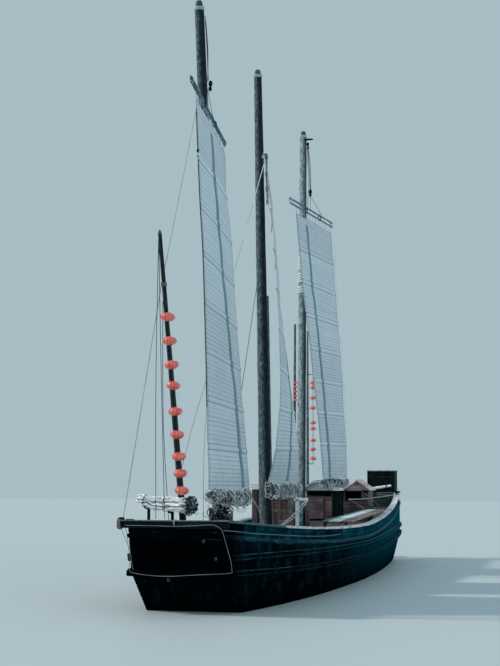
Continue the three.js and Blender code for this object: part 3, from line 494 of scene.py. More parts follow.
class Work:
    """Gathers shapes into one mesh. Each point has a UV, a tone for its shade, and a mark for its lines,
    which on gathered cloth paint shade into the folds.
    """

    def __init__(self):
        self.points, self.faces, self.kinds = [], [], []
        self.uvs, self.tones, self.marks = [], [], []

    def add(self, points, faces, kind=0, uvs=None, tone=0.0, marks=None):
        start, count = len(self.points), len(points)
        self.points += [tuple(p) for p in points]
        self.faces += [[start + i for i in face] for face in faces]
        self.kinds += [kind] * len(faces)
        self.uvs += uvs or [(0.0, 0.0)] * count
        self.tones += tone if isinstance(tone, list) else [tone] * count
        self.marks += marks or [0.0] * count

    def skin(self, rings, kind=0, tone=0.0, marks=None, closed=True, caps=True, metre=1.0):
        """Faces between rings of equal count. metre is how much v grows in a metre."""
        count = len(rings[0])
        faces = []
        for i in range(len(rings) - 1):
            for j in range(count if closed else count - 1):
                k = (j + 1) % count
                faces.append((i * count + j, i * count + k, (i + 1) * count + k, (i + 1) * count + j))
        if caps and closed:
            last = (len(rings) - 1) * count
            faces.append(tuple(range(count))[::-1])
            faces.append(tuple(last + j for j in range(count)))
        uvs, run = [], 0.0
        for i, ring in enumerate(rings):
            if i:
                run += (Vector(ring[0]) - Vector(rings[i - 1][0])).length * metre
            uvs += [(j / count, run) for j in range(count)]
        self.add([p for ring in rings for p in ring], faces, kind, uvs, tone, marks)

    def tube(self, path, radius, sides=8, kind=0, tone=0.0):
        """A round bar along a path; radius is one number or one for each point."""
        path = [Vector(p) for p in path]
        radii = radius if isinstance(radius, (list, tuple)) else [radius] * len(path)
        rings, side = [], None
        for i, p in enumerate(path):
            along = (path[min(i + 1, len(path) - 1)] - path[max(i - 1, 0)]).normalized()
            if side is None:
                side = along.orthogonal().normalized()
            side = (side - along * side.dot(along)).normalized()
            up = along.cross(side)
            rings.append([p + (side * cos(a) + up * sin(a)) * radii[i] for a in turns_of(sides)])
        self.skin(rings, kind, tone, metre=1 / (2 * pi * max(radii)))

    def block(self, low, high, kind=0, tone=0.0, bevel=0.012, place=None):
        """A box with its edges planed off, turned by place if that is given."""
        low, high = Vector(low), Vector(high)
        bevel = min(bevel, *(0.45 * (high - low)))
        points = []
        for corner in product((0, 1), repeat=3):
            for axis in range(3):
                p = Vector([(high if end else low)[i] for i, end in enumerate(corner)])
                for other in {0, 1, 2} - {axis}:
                    p[other] += -bevel if corner[other] else bevel
                points.append(place @ p if place else p)
        # Corner 4x + 2y + z has three points in a row, one for each face that it belongs to.
        faces = []
        for axis, one, two in ((0, 1, 2), (1, 0, 2), (2, 0, 1)):
            w, u, v = (4 >> i for i in (axis, one, two))
            faces += [[3 * (end + k) + axis for k in (0, u, u + v, v)] for end in (0, w)]
            for k in (0, v, u, u + v):
                faces.append([3 * k + one, 3 * (k + w) + one, 3 * (k + w) + two, 3 * k + two])
        faces += [[3 * k, 3 * k + 1, 3 * k + 2] for k in range(8)]
        self.add(points, faces, kind, tone=tone)

    def board(self, a, b, wide, thick, kind=0, tone=0.0):
        """A board from a to b along its middle, its wide side up."""
        a, b = Vector(a), Vector(b)
        along = (b - a).normalized()
        across = Vector((0, 0, 1)).cross(along).normalized()
        lift = along.cross(across)
        place = Matrix((along, across, lift)).transposed().to_4x4()
        place.translation = a
        far = ((b - a).length, wide / 2, thick / 2)
        self.block((0, -wide / 2, -thick / 2), far, kind, tone, 0.006, place)

    def make(self, name, finishes, replaces=(), body="root", smooth=35, weld=False):
        mesh = bpy.data.meshes.new(name)
        mesh.from_pydata(self.points, [], self.faces)
        mesh.polygons.foreach_set("material_index", self.kinds)
        layer = mesh.uv_layers.new(name="UVMap")
        loops = np.zeros(len(mesh.loops), np.int32)
        mesh.loops.foreach_get("vertex_index", loops)
        layer.data.foreach_set("uv", np.array(self.uvs, np.float32)[loops].ravel())
        for label, values in (("tone", self.tones), ("mark", self.marks)):
            mesh.attributes.new(label, "FLOAT", "POINT").data.foreach_set("value", values)
        return finished(mesh, name, finishes, replaces, body, smooth, weld)


def finished(mesh, name, finishes, replaces=(), body="root", smooth=35, weld=False):
    """Faces turned outwards, edges sharpened, finishes given, and a body; a piece given two bodies gets
    neither, only its place baked in.
    """
    shape = bmesh.new()
    shape.from_mesh(mesh)
    if weld:
        bmesh.ops.remove_doubles(shape, verts=shape.verts, dist=1e-5)
    bmesh.ops.recalc_face_normals(shape, faces=shape.faces)
    shape.to_mesh(mesh)
    shape.free()
    mesh.shade_smooth()
    mesh.set_sharp_from_angle(angle=radians(smooth))
    for finish in [finishes] if isinstance(finishes, str) else finishes:
        mesh.materials.append(FINISH[finish])
    piece = bpy.data.objects.new(name, mesh)
    bpy.context.scene.collection.objects.link(piece)
    if isinstance(body, str):
        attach(piece, body)
    else:
        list(body)
        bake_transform(piece)
    if replaces:
        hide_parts(*replaces)
    return piece


def curved(points, count):
    """Points evenly along a smooth line through the given ones."""
    given = [Vector(p) for p in points]
    ends = [given[0] * 2 - given[1], *given, given[-1] * 2 - given[-2]]
    dense = []
    for i in range(1, len(ends) - 2):
        a, b, c, d = ends[i - 1:i + 3]
        for k in range(16):
            t = k / 16
            dense.append(0.5 * (2 * b + (c - a) * t + (2 * a - 5 * b + 4 * c - d) * t * t
                                + (3 * b - a - 3 * c + d) * t ** 3))
    dense.append(given[-1])
    run = [0.0]
    for p, q in zip(dense, dense[1:]):
        run.append(run[-1] + (q - p).length)
    even, i = [], 0
    for k in range(count + 1):
        want = run[-1] * k / count
        while i < len(run) - 2 and run[i + 1] < want:
            i += 1
        even.append(dense[i].lerp(dense[i + 1], (want - run[i]) / max(1e-9, run[i + 1] - run[i])))
    return even


def walled(cloth, thick, offset=0):
    """Gives a cloth its thickness and returns the cloth's own area before that."""
    area = sum(face.area for face in cloth.data.polygons)
    wall = cloth.modifiers.new("wall", "SOLIDIFY")
    wall.thickness = thick
    wall.offset = offset
    return area


def rough(p, scale, amount):
    return noise.noise(Vector(p) * scale) * amount


def round_noise(angle, size, z):
    """Noise that meets itself once round."""
    return noise.noise(Vector((cos(angle) * size, sin(angle) * size, z)))


# Geometry node trees for what repeats along a path

def grown(tree_name, path, inputs, name, finish, body="root"):
    """Runs a tree on a line through the points and keeps its plain mesh as a piece."""
    curve = bpy.data.curves.new(name + "_path", "CURVE")
    curve.dimensions = "3D"
    spline = curve.splines.new("POLY")
    spline.points.add(len(path) - 1)
    for point, p in zip(spline.points, path):
        point.co = (*p, 1)
    holder = bpy.data.objects.new(name + "_path", curve)
    bpy.context.scene.collection.objects.link(holder)
    tree = TREES[tree_name]
    modifier = holder.modifiers.new("tree", "NODES")
    modifier.node_group = tree
    sockets = {item.name: item.identifier for item in tree.interface.items_tree if item.in_out == "INPUT"}
    for key, value in {**inputs, "Finish": FINISH[finish]}.items():
        modifier[sockets[key]] = value
    bpy.context.view_layer.update()
    made = holder.evaluated_get(bpy.context.evaluated_depsgraph_get())
    mesh = bpy.data.meshes.new_from_object(made)
    mesh.name = name
    holder.modifiers.clear()
    bpy.data.objects.remove(holder)
    mesh.materials.clear()
    return finished(mesh, name, finish, body=body)


SOCKETS = {float: "NodeSocketFloat", int: "NodeSocketInt", tuple: "NodeSocketVector"}


def new_tree(name, numbers):
    """A tree with an input for each named number and one for its finish, and what those inputs give."""
    tree = bpy.data.node_groups.new(name, "GeometryNodeTree")
    tree.interface.new_socket("Geometry", in_out="INPUT", socket_type="NodeSocketGeometry")
    for label, value in numbers.items():
        socket = tree.interface.new_socket(label, in_out="INPUT", socket_type=SOCKETS[type(value)])
        socket.default_value = value
    tree.interface.new_socket("Finish", in_out="INPUT", socket_type="NodeSocketMaterial")
    tree.interface.new_socket("Geometry", in_out="OUTPUT", socket_type="NodeSocketGeometry")
    return tree, node(tree, "NodeGroupInput").outputs


def set_along(tree, given, thing, scale=(1.0, 1.0, 1.0)):
    """Sets a shape at even spaces along the path that the tree is given, and closes the tree."""
    along = {"Curve": given[0], "Length": given["Spacing"]}
    spots = node(tree, "GeometryNodeResampleCurve", along, mode="LENGTH")
    placed = node(tree, "GeometryNodeInstanceOnPoints", {"Points": spots, "Instance": thing, "Scale": scale})
    return close_tree(tree, placed, given)


def close_tree(tree, geometry, given):
    real = node(tree, "GeometryNodeRealizeInstances", {0: geometry})
    painted = node(tree, "GeometryNodeSetMaterial", {"Geometry": real, "Material": given["Finish"]})
    node(tree, "NodeGroupOutput", {0: painted})
    return tree


def studs_tree():
    """Low domed heads, evenly spaced along a path."""
    tree, given = new_tree("studs", {"Spacing": 0.3, "Radius": 0.016, "Depth": 0.01})
    dome = node(tree, "GeometryNodeMeshUVSphere", {"Segments": 8, "Rings": 5, "Radius": 1.0})
    size = node(tree, "ShaderNodeCombineXYZ", {0: given["Depth"], 1: given["Radius"], 2: given["Radius"]})
    shaped = node(tree, "GeometryNodeTransform", {"Geometry": dome, "Scale": size})
    return set_along(tree, given, shaped)


def posts_tree():
    """Upright posts, evenly spaced along a path, each a little different in height."""
    numbers = {"Spacing": 0.6, "Wide": 0.06, "Deep": 0.07, "High": 0.36, "Uneven": 0.02, "Seed": 1}
    tree, given = new_tree("posts", numbers)
    size = node(tree, "ShaderNodeCombineXYZ", {0: given["Wide"], 1: given["Deep"], 2: given["High"]})
    cube = node(tree, "GeometryNodeMeshCube", {"Size": size, "Vertices X": 3, "Vertices Y": 3})
    half = node(tree, "ShaderNodeMath", {0: given["High"], 1: 0.5}, operation="MULTIPLY")
    lift = node(tree, "ShaderNodeCombineXYZ", {2: half})
    raised = node(tree, "GeometryNodeTransform", {"Geometry": cube, "Translation": lift})
    low = node(tree, "ShaderNodeMath", {0: 1.0, 1: given["Uneven"]}, operation="SUBTRACT")
    tall = node(tree, "FunctionNodeRandomValue", {2: low, 3: 1.0, "Seed": given["Seed"]}, data_type="FLOAT")
    scale = node(tree, "ShaderNodeCombineXYZ", {0: 1.0, 1: 1.0, 2: tall.outputs[1]})
    return set_along(tree, given, raised, scale)


def turns_tree():
    """Turns of cord wound round a path in an oval: a lashing."""
    numbers = {"Turns": 6.0, "Wide": 0.1, "High": 0.1, "Cord": 0.012, "Up": (0.0, 0.0, 1.0)}
    tree, given = new_tree("turns", numbers)
    fine = node(tree, "GeometryNodeResampleCurve", {"Curve": given[0], "Count": 140}, mode="COUNT")
    part = node(tree, "GeometryNodeSplineParameter").outputs["Factor"]
    full = node(tree, "ShaderNodeMath", {0: given["Turns"], 1: 2 * pi}, operation="MULTIPLY")
    angle = node(tree, "ShaderNodeMath", {0: part, 1: full}, operation="MULTIPLY")
    tangent = node(tree, "GeometryNodeInputTangent")
    side = node(tree, "ShaderNodeVectorMath", {0: given["Up"], 1: tangent}, operation="CROSS_PRODUCT")
    side = node(tree, "ShaderNodeVectorMath", {0: side}, operation="NORMALIZE")
    over = node(tree, "ShaderNodeVectorMath", {0: tangent, 1: side}, operation="CROSS_PRODUCT")
    steps = []
    for way, size, wave in ((side, given["Wide"], "COSINE"), (over, given["High"], "SINE")):
        turn = node(tree, "ShaderNodeMath", {0: angle}, operation=wave)
        reach = node(tree, "ShaderNodeMath", {0: turn, 1: size}, operation="MULTIPLY")
        steps.append(node(tree, "ShaderNodeVectorMath", {0: way, "Scale": reach}, operation="SCALE"))
    away = node(tree, "ShaderNodeVectorMath", {0: steps[0], 1: steps[1]}, operation="ADD")
    wound = node(tree, "GeometryNodeSetPosition", {"Geometry": fine, "Offset": away})
    ring = node(tree, "GeometryNodeCurvePrimitiveCircle", {"Resolution": 6, "Radius": given["Cord"]})
    cord = node(tree, "GeometryNodeCurveToMesh", {"Curve": wound, "Profile Curve": ring, "Fill Caps": True})
    return close_tree(tree, cord, given)


TREES = {"studs": studs_tree(), "posts": posts_tree(), "turns": turns_tree()}


# Hull and deck

STATIONS = 60
GROOVE = {"half": 0.011, "deep": 0.014}
STRAKES = (1, 1, 3, 3)  # planks between each two levels
DECK = {"planks": 16, "edge": 0.05, "down": 0.04, "proud": 0.002, "thick": 0.03, "gap": 0.011}


def hull_girth():
    """Points round one side from the bottom to the deck, as a place on the levels and whether in a seam."""
    lengths = (0.4, 0.4, 1.0, 0.85)
    spots = [(0.0, False)]
    for part, (strakes, length) in enumerate(zip(STRAKES, lengths)):
        half = GROOVE["half"] / length
        for k in range(strakes):
            if part or k:
                at = part + k / strakes
                spots += [(at - half, False), (at, True), (at + half, False)]
    return [*spots, (len(LEVELS) - 1.0, False)]


def hull_point(at, seam, t):
    part = min(int(at + 1e-9), len(LEVELS) - 2)
    x, y, z = between(LEVELS[part], LEVELS[part + 1], at - part, t)
    if seam:
        x -= GROOVE["deep"]
        y += GROOVE["deep"] * (t == 0) - GROOVE["deep"] * (t == 1)
    return x, y, z


def hull_planking():
    work = Work()
    girth = hull_girth()
    rings = []
    for t in spaced(0, 1, STATIONS):
        port = [hull_point(at, seam, t) for at, seam in girth]
        x, y, z = port[-1]
        port.append((x - DECK["edge"], y, z))
        port.append((x - DECK["edge"], y, z - DECK["down"]))
        rings.append(port + [(-x, y, z) for x, y, z in reversed(port)])
    work.skin(rings, caps=False)
    count = len(rings[0])
    for ring in (rings[0], rings[-1]):
        faces = [(j, count - 1 - j, count - 2 - j, j + 1) for j in range(count // 2 - 1)]
        work.add(ring, faces)
    work.make("hull_planking", "tar", ["hull"], smooth=25, weld=True)


def deck_planks():
    work = Work()
    vary = random.Random(4).uniform
    count = DECK["planks"]
    for plank in range(count):
        t = 0.004
        ends = []
        while t < 0.996:
            end = min(0.996, t + vary(0.1, 0.22))
            if end > 0.93:
                end = 0.996
            ends.append((t, end))
            t = end
        for start, end in ends:
            rings = []
            for at in spaced(start + 0.0002, end - 0.0002, max(2, int((end - start) * 40))):
                x, y, z = on_line("deck", at)
                wide = x - DECK["edge"] - 0.004
                left = -wide + 2 * wide * plank / count + DECK["gap"] / 2
                right = -wide + 2 * wide * (plank + 1) / count - DECK["gap"] / 2
                top, low = z + DECK["proud"], z - DECK["thick"]
                lip = 0.006
                rings.append([
                    (left, y, low), (left, y, top - lip), (left + lip, y, top),
                    (right - lip, y, top), (right, y, top - lip), (right, y, low),
                ])
            work.skin(rings, tone=vary(-0.5, 0.5))
    work.make("deck_planks", "deck")


def hull_fittings():
    """Frames inside the bulwarks, and nail heads along the strakes."""
    for side, sign in SIDES:
        foot = []
        for t in spaced(0.03, 0.965, 80):
            inner = min(on_line("deck", t)[0], on_line("sheer", t)[0]) - PLANK - 0.028
            _, y, z = on_line("deck", t)
            foot.append((sign * inner, y, z + 0.004))
        spacing = {"Spacing": 0.62, "Seed": 3}
        grown("posts", foot, spacing, f"bulwark_frames_{side}", "shade_wood")
        for label, low, high, shares, out in (
            ("lower", "wale", "deck", (0.06, 0.08, 0.04), 0.081),
            ("middle", "wale", "deck", (0.45, 0.77, 0.27), 0.071),
            ("upper", "deck", "sheer", (0.19, 0.19, 0.19), 0.043),
        ):
            row = []
            for t in spaced(0.01, 0.99, 60):
                x, y, z = between(low, high, shares, t)
                row.append((sign * (x + out), y, z))
            grown("studs", row, {"Spacing": 0.31}, f"nails_{label}_{side}", "iron")


# Each wale: its lower edge and its upper edge as shares between two lines, and how proud it stands
WALES = [
    ("wale_lower", ("water", "wale", (0.9, 0.9, 0.9)), ("wale", "deck", (0.12, 0.16, 0.08)), 0.08),
    ("wale_middle", ("wale", "deck", (0.34, 0.6, 0.19)), ("wale", "deck", (0.56, 0.95, 0.35)), 0.07),
]


def topsides():
    """Bulwarks of three planks, their caps in lengths, and the wales, all with eased edges."""
    steps = spaced(0, 1, STATIONS)
    for side, sign in SIDES:
        work = Work()
        seams = (0.0, 0.36, 0.68, 1.0)
        for low, high in zip(seams, seams[1:]):
            rings = []
            for t in steps:
                a, b = between("deck", "sheer", low + 0.006, t), between("deck", "sheer", high - 0.006, t)
                ring = []
                for out, lift in ((-0.012, 0), (0, 0.012), (0, 1), (-0.012, 1), (-PLANK, 1), (-PLANK, 0)):
                    x, y, z = b if lift == 1 else a
                    ring.append((sign * (x + out), y, z + (lift if lift != 1 else 0)))
                rings.append(ring)
            work.skin(rings, 0, 0.25 - 0.3 * low)
        # A moulding along the bulwark, paler: painted highlight along it.
        rings = []
        for t in steps:
            a, b = between("deck", "sheer", 0.08, t), between("deck", "sheer", 0.3, t)
            corners = ((a, -0.03, 0), (a, 0.034, 0), (a, 0.042, 0.01),
                       (b, 0.042, -0.01), (b, 0.034, 0), (b, -0.03, 0))
            rings.append([(sign * (p[0] + out), p[1], p[2] + up) for p, out, up in corners])
        work.skin(rings, 1, 0.1)
        work.make(f"bulwark_{side}_planks", ["topside", "strake"], [f"bulwark_{side}"])

        cap = Work()
        joints = [0.0, 0.13, 0.145, 0.33, 0.52, 0.72, 0.88, 1.0]
        for i, (a, b) in enumerate(zip(joints, joints[1:])):
            rings = []
            for t in spaced(a + 0.0002, b - 0.0002, 12):
                x, y, z = on_line("sheer", t)
                outer, inner = x + RAIL["out"], x + RAIL["out"] - RAIL["wide"]
                low, top = z + 0.001, z + RAIL["thick"]
                ring = ((outer, low), (outer, top - 0.014), (outer - 0.014, top), (inner + 0.014, top),
                        (inner, top - 0.014), (inner, low))
                rings.append([(sign * px, y, pz) for px, pz in ring])
            cap.skin(rings, 1 if i < 1 else 0, (0.3, -0.2, 0.1, 0.4, -0.1, 0.3, 0.1)[i])
        cap.make(f"gunwale_{side}_cap", ["rail", "dark_rail"], [f"gunwale_{side}"])

        for name, low, high, proud in WALES:
            wale = Work()
            rings = []
            for t in steps:
                a, b = between(*low, t), between(*high, t)
                knee = [on_line("wale", t)] if name == "wale_lower" else []
                inner = [(sign * (p[0] + 0.004), p[1], p[2]) for p in (a, *knee, b)]
                ease = min(0.016, (b[2] - a[2]) * 0.2)
                outer = [(sign * (p[0] + proud - back), p[1], p[2] + up)
                         for p, back, up in ((b, ease, 0), (b, 0, -ease), (a, 0, ease), (a, ease, 0))]
                rings.append(inner + outer)
            wale.skin(rings, 0, 0.15)
            # Two thin paler strips on each wale: painted highlight along its top edge and along a line lower
            # down.
            for low_share, high_share in ((0.86, 0.97), (0.3, 0.36)):
                rubbed = []
                for t in steps:
                    a, b = between(*low, t), between(*high, t)
                    p, q = mix_all(a, b, low_share), mix_all(a, b, high_share)
                    corners = ((p, proud - 0.004), (p, proud + 0.003), (q, proud + 0.003), (q, proud - 0.004))
                    rubbed.append([(sign * (r[0] + out), r[1], r[2]) for r, out in corners])
                wale.skin(rubbed, 1, 0.1)
            wale.make(f"{name}_{side}_strake", ["tar", "strake"], [f"{name}_{side}"])


def bow_and_stern():
    """Planked boards over both ends, the two bow beams and the small fittings on them."""
    vary = random.Random(6).uniform
    work = Work()
    inset = PLANK + 0.002
    for t, into in ((0, 1), (1, -1)):
        deck, sheer = on_line("deck", t), on_line("sheer", t)
        for k in range(2):
            a, b = mix_all(deck, sheer, k / 2 + 0.008), mix_all(deck, sheer, (k + 1) / 2 - 0.008)
            b = (b[0], b[1], b[2] - 0.07 * (k + 1) / 2)
            a = (a[0], a[1], a[2] - 0.07 * k / 2)
            for x0, x1 in ((-1, 0.1), (0.106, 1)):
                ring = [(a[1], a[2], a[0]), (b[1], b[2], b[0]), (b[1] + into * PLANK, b[2], b[0]),
                        (a[1] + into * PLANK, a[2], a[0])]
                rings = [[(side * (half - inset) if abs(side) == 1 else side, y, z) for y, z, half in ring]
                         for side in (x0, x1)]
                work.skin(rings, 0, vary(-0.3, 0.3))
    work.make("end_boards", "topside", ["bow_board", "stern_board"])

    beam = Work()
    x, y, z = on_line("sheer", 0)
    left, right = -x - 0.23, x + 0.2
    beam.block((left, y - 0.15, z - 0.15), (right, y - 0.006, z + 0.012), 0, 0.1, 0.022)
    # A paler cap along the beam's top: painted highlight on its top edge.
    beam.block((left + 0.1, y - 0.145, z + 0.013), (right - 0.02, y - 0.01, z + 0.04), 1, 0.1, 0.01)
    beam.block((left + 0.03, y - 0.12, z + 0.013), (left + 0.17, y - 0.02, z + 0.1), 0, 0.3, 0.02)
    beam.make("bow_beam_timber", ["beam", "gear"], ["bow_beam"])
    turns = [(left + 0.02, y - 0.078, z - 0.055), (left + 0.1, y - 0.078, z - 0.055)]
    lashing("bow_beam_turns", *turns, 0.09, 0.115, 3, "pale_rope", 0.018)

    low = Work()
    x, y, z = on_line("wale", 0)
    low.block((-x - 0.06, y - 0.19, z - 0.075), (x + 0.03, y - 0.06, z + 0.075), 0, 0.0, 0.02)
    low.make("bow_lower_beam_timber", "topside", ["bow_lower_beam"])
    bolts = Work()
    for place in ((0.68, -12.33, 2.41), (0.92, -12.14, 2.0), (-0.37, -11.81, 1.46)):
        p = Vector(place)
        ring = [p + Vector((0.028 * cos(a), -0.03, 0.028 * sin(a))) for a in turns_of(12)]
        bolts.tube([*ring, ring[0]], 0.007, 6)
        bolts.tube([p + Vector((0, 0.03, 0.03)), p + Vector((0, -0.03, 0.03))], 0.012, 8)
    bolts.make("bow_eye_bolts", "gear")


def repaint(nodes, finish):
    for name in nodes:
        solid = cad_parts[name]
        solid.data.materials.clear()
        solid.data.materials.append(FINISH[finish])


# Masts and spars

def pole(work, path, radii, kind=0, sides=20, knots=0.05, seed=0.0, tone=0.0):
    """A round pole whose surface is uneven, as a peeled trunk is."""
    rings = []
    for p, r in zip(path, radii):
        ring = []
        for a in turns_of(sides):
            swell = 1 + knots * round_noise(a, 1.6, p[2] * 1.3 + seed)
            swell += 0.5 * knots * round_noise(a, 4, p[2] * 4 + seed)
            ring.append((p[0] + cos(a) * r * swell, p[1] + sin(a) * r * swell, p[2]))
        rings.append(ring)
    work.skin(rings, kind, tone)


PARTNERS = {
    "fore_mast": (0.42, [((0.2, 0.29), 2.96), ((-0.29, -0.2), 3.12)]),
    "main_mast": (0.5, [((0.215, 0.305), 2.9), ((-0.455, -0.275), 3.56)]),
    "mizzen_mast": (0.4, [((0.185, 0.275), 2.85), ((-0.275, -0.185), 2.95)]),
}


def masts():
    for index, (name, mast) in enumerate(MASTS.items()):
        work = Work()
        r_top, top, low = mast["r"][1], mast["top"], heel_of(mast)
        ring_low, cap_low = top - r_top * 2.05, top - r_top * 1.3
        steps = 90 if name in PARTNERS else 40
        heights = spaced(low, ring_low + 0.01, steps)
        lean = mast.get("lean", 0)
        path = [on_mast(name, z, lean * (top - z) / (top - low)) for z in heights]
        radii = [radius_at(name, z) for z in heights]
        pole(work, path, radii, 0, 24 if name in PARTNERS else 12, 0.06, index * 7.3)
        ring = [on_mast(name, z) for z in (ring_low, ring_low + 0.012, cap_low - 0.012, cap_low)]
        work.tube(ring, [r_top * k for k in (1.06, 1.13, 1.13, 1.02)], 20, 1 if name in PARTNERS else 2)
        cap = [on_mast(name, z) for z in (cap_low - 0.01, cap_low + r_top * 0.5, top - 0.02, top)]
        work.tube(cap, [r_top * k for k in (0.8, 0.78, 0.66, 0.45)], 16, 2)
        if name in PARTNERS:
            half, cheeks = PARTNERS[name]
            x, y = mast["foot"]
            base = max(deck_at(y - 0.26), deck_at(y + 0.26))
            vary = random.Random(index).uniform
            for k in range(4):
                ends = (y - 0.26 + 0.13 * k + 0.003, y - 0.26 + 0.13 * (k + 1) - 0.003)
                low_corner, high_corner = (x - half, ends[0], base), (x + half, ends[1], base + 0.14)
                work.block(low_corner, high_corner, 3, vary(-0.4, 0.4), 0.014)
            for (x0, x1), height in cheeks:
                work.block((x + x0, y - 0.15, base + 0.1), (x + x1, y + 0.15, height), 4, -0.3, 0.018)
        skin = "pale_mast" if name == "mizzen_mast" else "mast"
        kinds = [skin, "mast_ring", "mast_cap", "gear", "cheek"]
        work.make(name + "_pole", kinds, [name])


def lashing(name, a, b, wide, high, turns, finish="pale_rope", cord=0.014, body="root", up=(0, 0, 1)):
    inputs = {"Turns": float(turns), "Wide": wide, "High": high, "Cord": cord, "Up": up}
    grown("turns", [a, b], inputs, name, finish, body)


# Sails

def cloth_rows(sail):
    """Rows of heights up a sail, each with its bulge, its sewn mark and its panel."""
    knots = batten_heights(sail)
    half = SAIL["pocket"] / 2
    chance = random.Random(sail["mast"])
    # A pocket's edges carry a dark mark: its stitching, and painted shadow along both edges.
    pocket = (
        (-half - 0.016, 0.0, 0.0), (-half, 0.002, 0.9), (-half + 0.018, 0.016, 0.0), (0.0, 0.022, 0.0),
        (half - 0.018, 0.016, 0.0), (half, 0.002, 1.0), (half + 0.022, 0.0, 0.0),
    )
    rows = []
    for panel in range(len(knots) - 1):
        low, high = knots[panel], knots[panel + 1]
        start = 0 if panel == 0 else half + 0.02
        end = 0 if panel == len(knots) - 2 else half + 0.02
        tall = high[0] - low[0]
        if panel:
            for up, bulge, mark in pocket:
                rows.append(((low[0] + up, low[1] + up), bulge, mark, panel - 0.5))
        lines = SAIL["lines"]
        for k in range(lines):
            worn = chance.choice((0.3, 0.5, 0.65, 0.95))
            f0 = mix(start / tall, 1 - end / tall, k / lines)
            f1 = mix(start / tall, 1 - end / tall, (k + 1) / lines)
            seam = [(1.0, 0.006, worn)] if k < lines - 1 else []
            for part, bulge, mark in [(0.08, 0.0, 0.0), (0.5, 0.0, 0.0), (0.92, 0.0, 0.0), *seam]:
                rows.append((mix_all(low, high, mix(f0, f1, part)), bulge, mark, panel))
    first, last = (knots[0], 0.01, 0.7, 0), (knots[-1], 0.012, 0.8, len(knots) - 2)
    return [first, *rows, last]


def billow(sail, heights, share):
    """How far the cloth stands off between battens."""
    _, part = stretch([luff for luff, _ in batten_heights(sail)], heights[0])
    return 0.022 * sin(pi * min(1, max(0, part))) * sin(pi * min(1, max(0, share))) ** 0.5


def cloth_out(sail, heights, share, bulge):
    """How far the cloth stands out from its row: sewn ridges, bellies between battens, and slack."""
    return bulge + billow(sail, heights, share) + rough((share * 3, heights[0] * 0.9, 5), 1.0, 0.02)


def sail_cloths():
    columns = 22
    for key, sail in SAILS.items():
        body = f"{key}_rig"
        vary = random.Random(key).uniform
        shades = {}
        work = Work()
        rings, tones, marks = [], [], []
        for heights, bulge, mark, panel in cloth_rows(sail):
            shade = shades.setdefault(panel, vary(-0.2, 0.2) + (0.12 if panel != int(panel) else 0))
            row = row_at(sail, heights)
            pull = billow(sail, heights, 0.5) * 0.6
            ring = []
            for j, share in enumerate(spaced(pull / 4, 1 - pull / 3, columns)):
                ring.append(on_sail(sail, row, share, cloth_out(sail, heights, share, bulge)))
                marks.append(max(mark, 0.4 if j in (0, columns) else 0.0))
                tones.append(shade)
            rings.append(ring)
        work.skin(rings, 0, tones, marks, closed=False)
        cloth = work.make(f"{key}_sailcloth", "sail", [f"{key}_sail"], body, 60)
        area = walled(cloth, 0.008)
        strip, poles, net = painted_mast_shadow(key, sail, body), battens(key, sail, body), foot_net(key, sail, body)


def foot_net(key, sail, body):
    """Thin cords up the lowest metre of the cloth, from the gathered foot."""
    vary = random.Random(key + "_net").uniform
    work = Work()
    count = int((sail["rows"][0][1][1] - sail["rows"][0][1][0]) / 0.09)
    for i in range(1, count):
        share = (i + vary(-0.3, 0.3)) / count
        tall, lean = vary(0.25, 0.7), vary(-0.006, 0.006)
        path = []
        for k in range(7):
            z = [h + 0.02 + tall * k / 6 for h in sail["rows"][0][0]]
            across = share + lean * k
            path.append(on_sail(sail, row_at(sail, z), across, cloth_out(sail, z, across, 0.013)))
        work.tube(path, 0.0018, 4)
    return work.make(f"{key}_foot_net", "sail_cord", body=body)


def painted_mast_shadow(key, sail, body):
    """A darker strip that runs down the sail, lying on the cloth and over its pockets: painted shadow of the
    mast, seen through the cloth.
    """
    work = Work()
    rings, marks = [], []
    for heights, bulge, _, _ in cloth_rows(sail):
        z = mix(*heights, 0.5)
        for _ in range(3):
            share, wide = shadow_strip_at(sail, z)
            z = mix(*heights, share)
        if not sail["strip"][0][0] <= z <= sail["strip"][-1][0]:
            continue
        row = row_at(sail, heights)
        cloth = row[1][1] - row[1][0]
        ring = []
        for j in range(6):
            s = share + (j / 5 - 0.5) * wide / cloth
            ring.append(on_sail(sail, row, s, cloth_out(sail, heights, s, bulge) + 0.009))
            marks.append(0.6 if j in (0, 5) else 0.0)
        rings.append(ring)
    work.skin(rings, marks=marks, closed=False)
    strip = work.make(f"{key}_sail_painted_mast_shadow", "strip", body=body, smooth=60)
    walled(strip, 0.003)
    return strip


def shadow_strip_at(sail, z):
    """Where across the sail the painted shadow's middle lies at a height, and its width."""
    rows = sail["strip"]
    i, part = stretch([row[0] for row in rows], z)
    return mix_all(rows[i][1:], rows[i + 1][1:], part)


def battens(key, sail, body):
    """Bamboo on the far side of each pocket, with its joints."""
    work = Work()
    for heights in batten_heights(sail)[1:-1]:
        row = row_at(sail, heights)
        path, radii = [], []
        for i, share in enumerate(spaced(0.03, 0.99, 48)):
            path.append(on_sail(sail, row, share, -0.024))
            radii.append(0.013 + (0.002 if i % 6 == 3 else 0))
        work.tube(path, radii, 8)
    return work.make(f"{key}_battens", "bamboo", body=body, smooth=50)


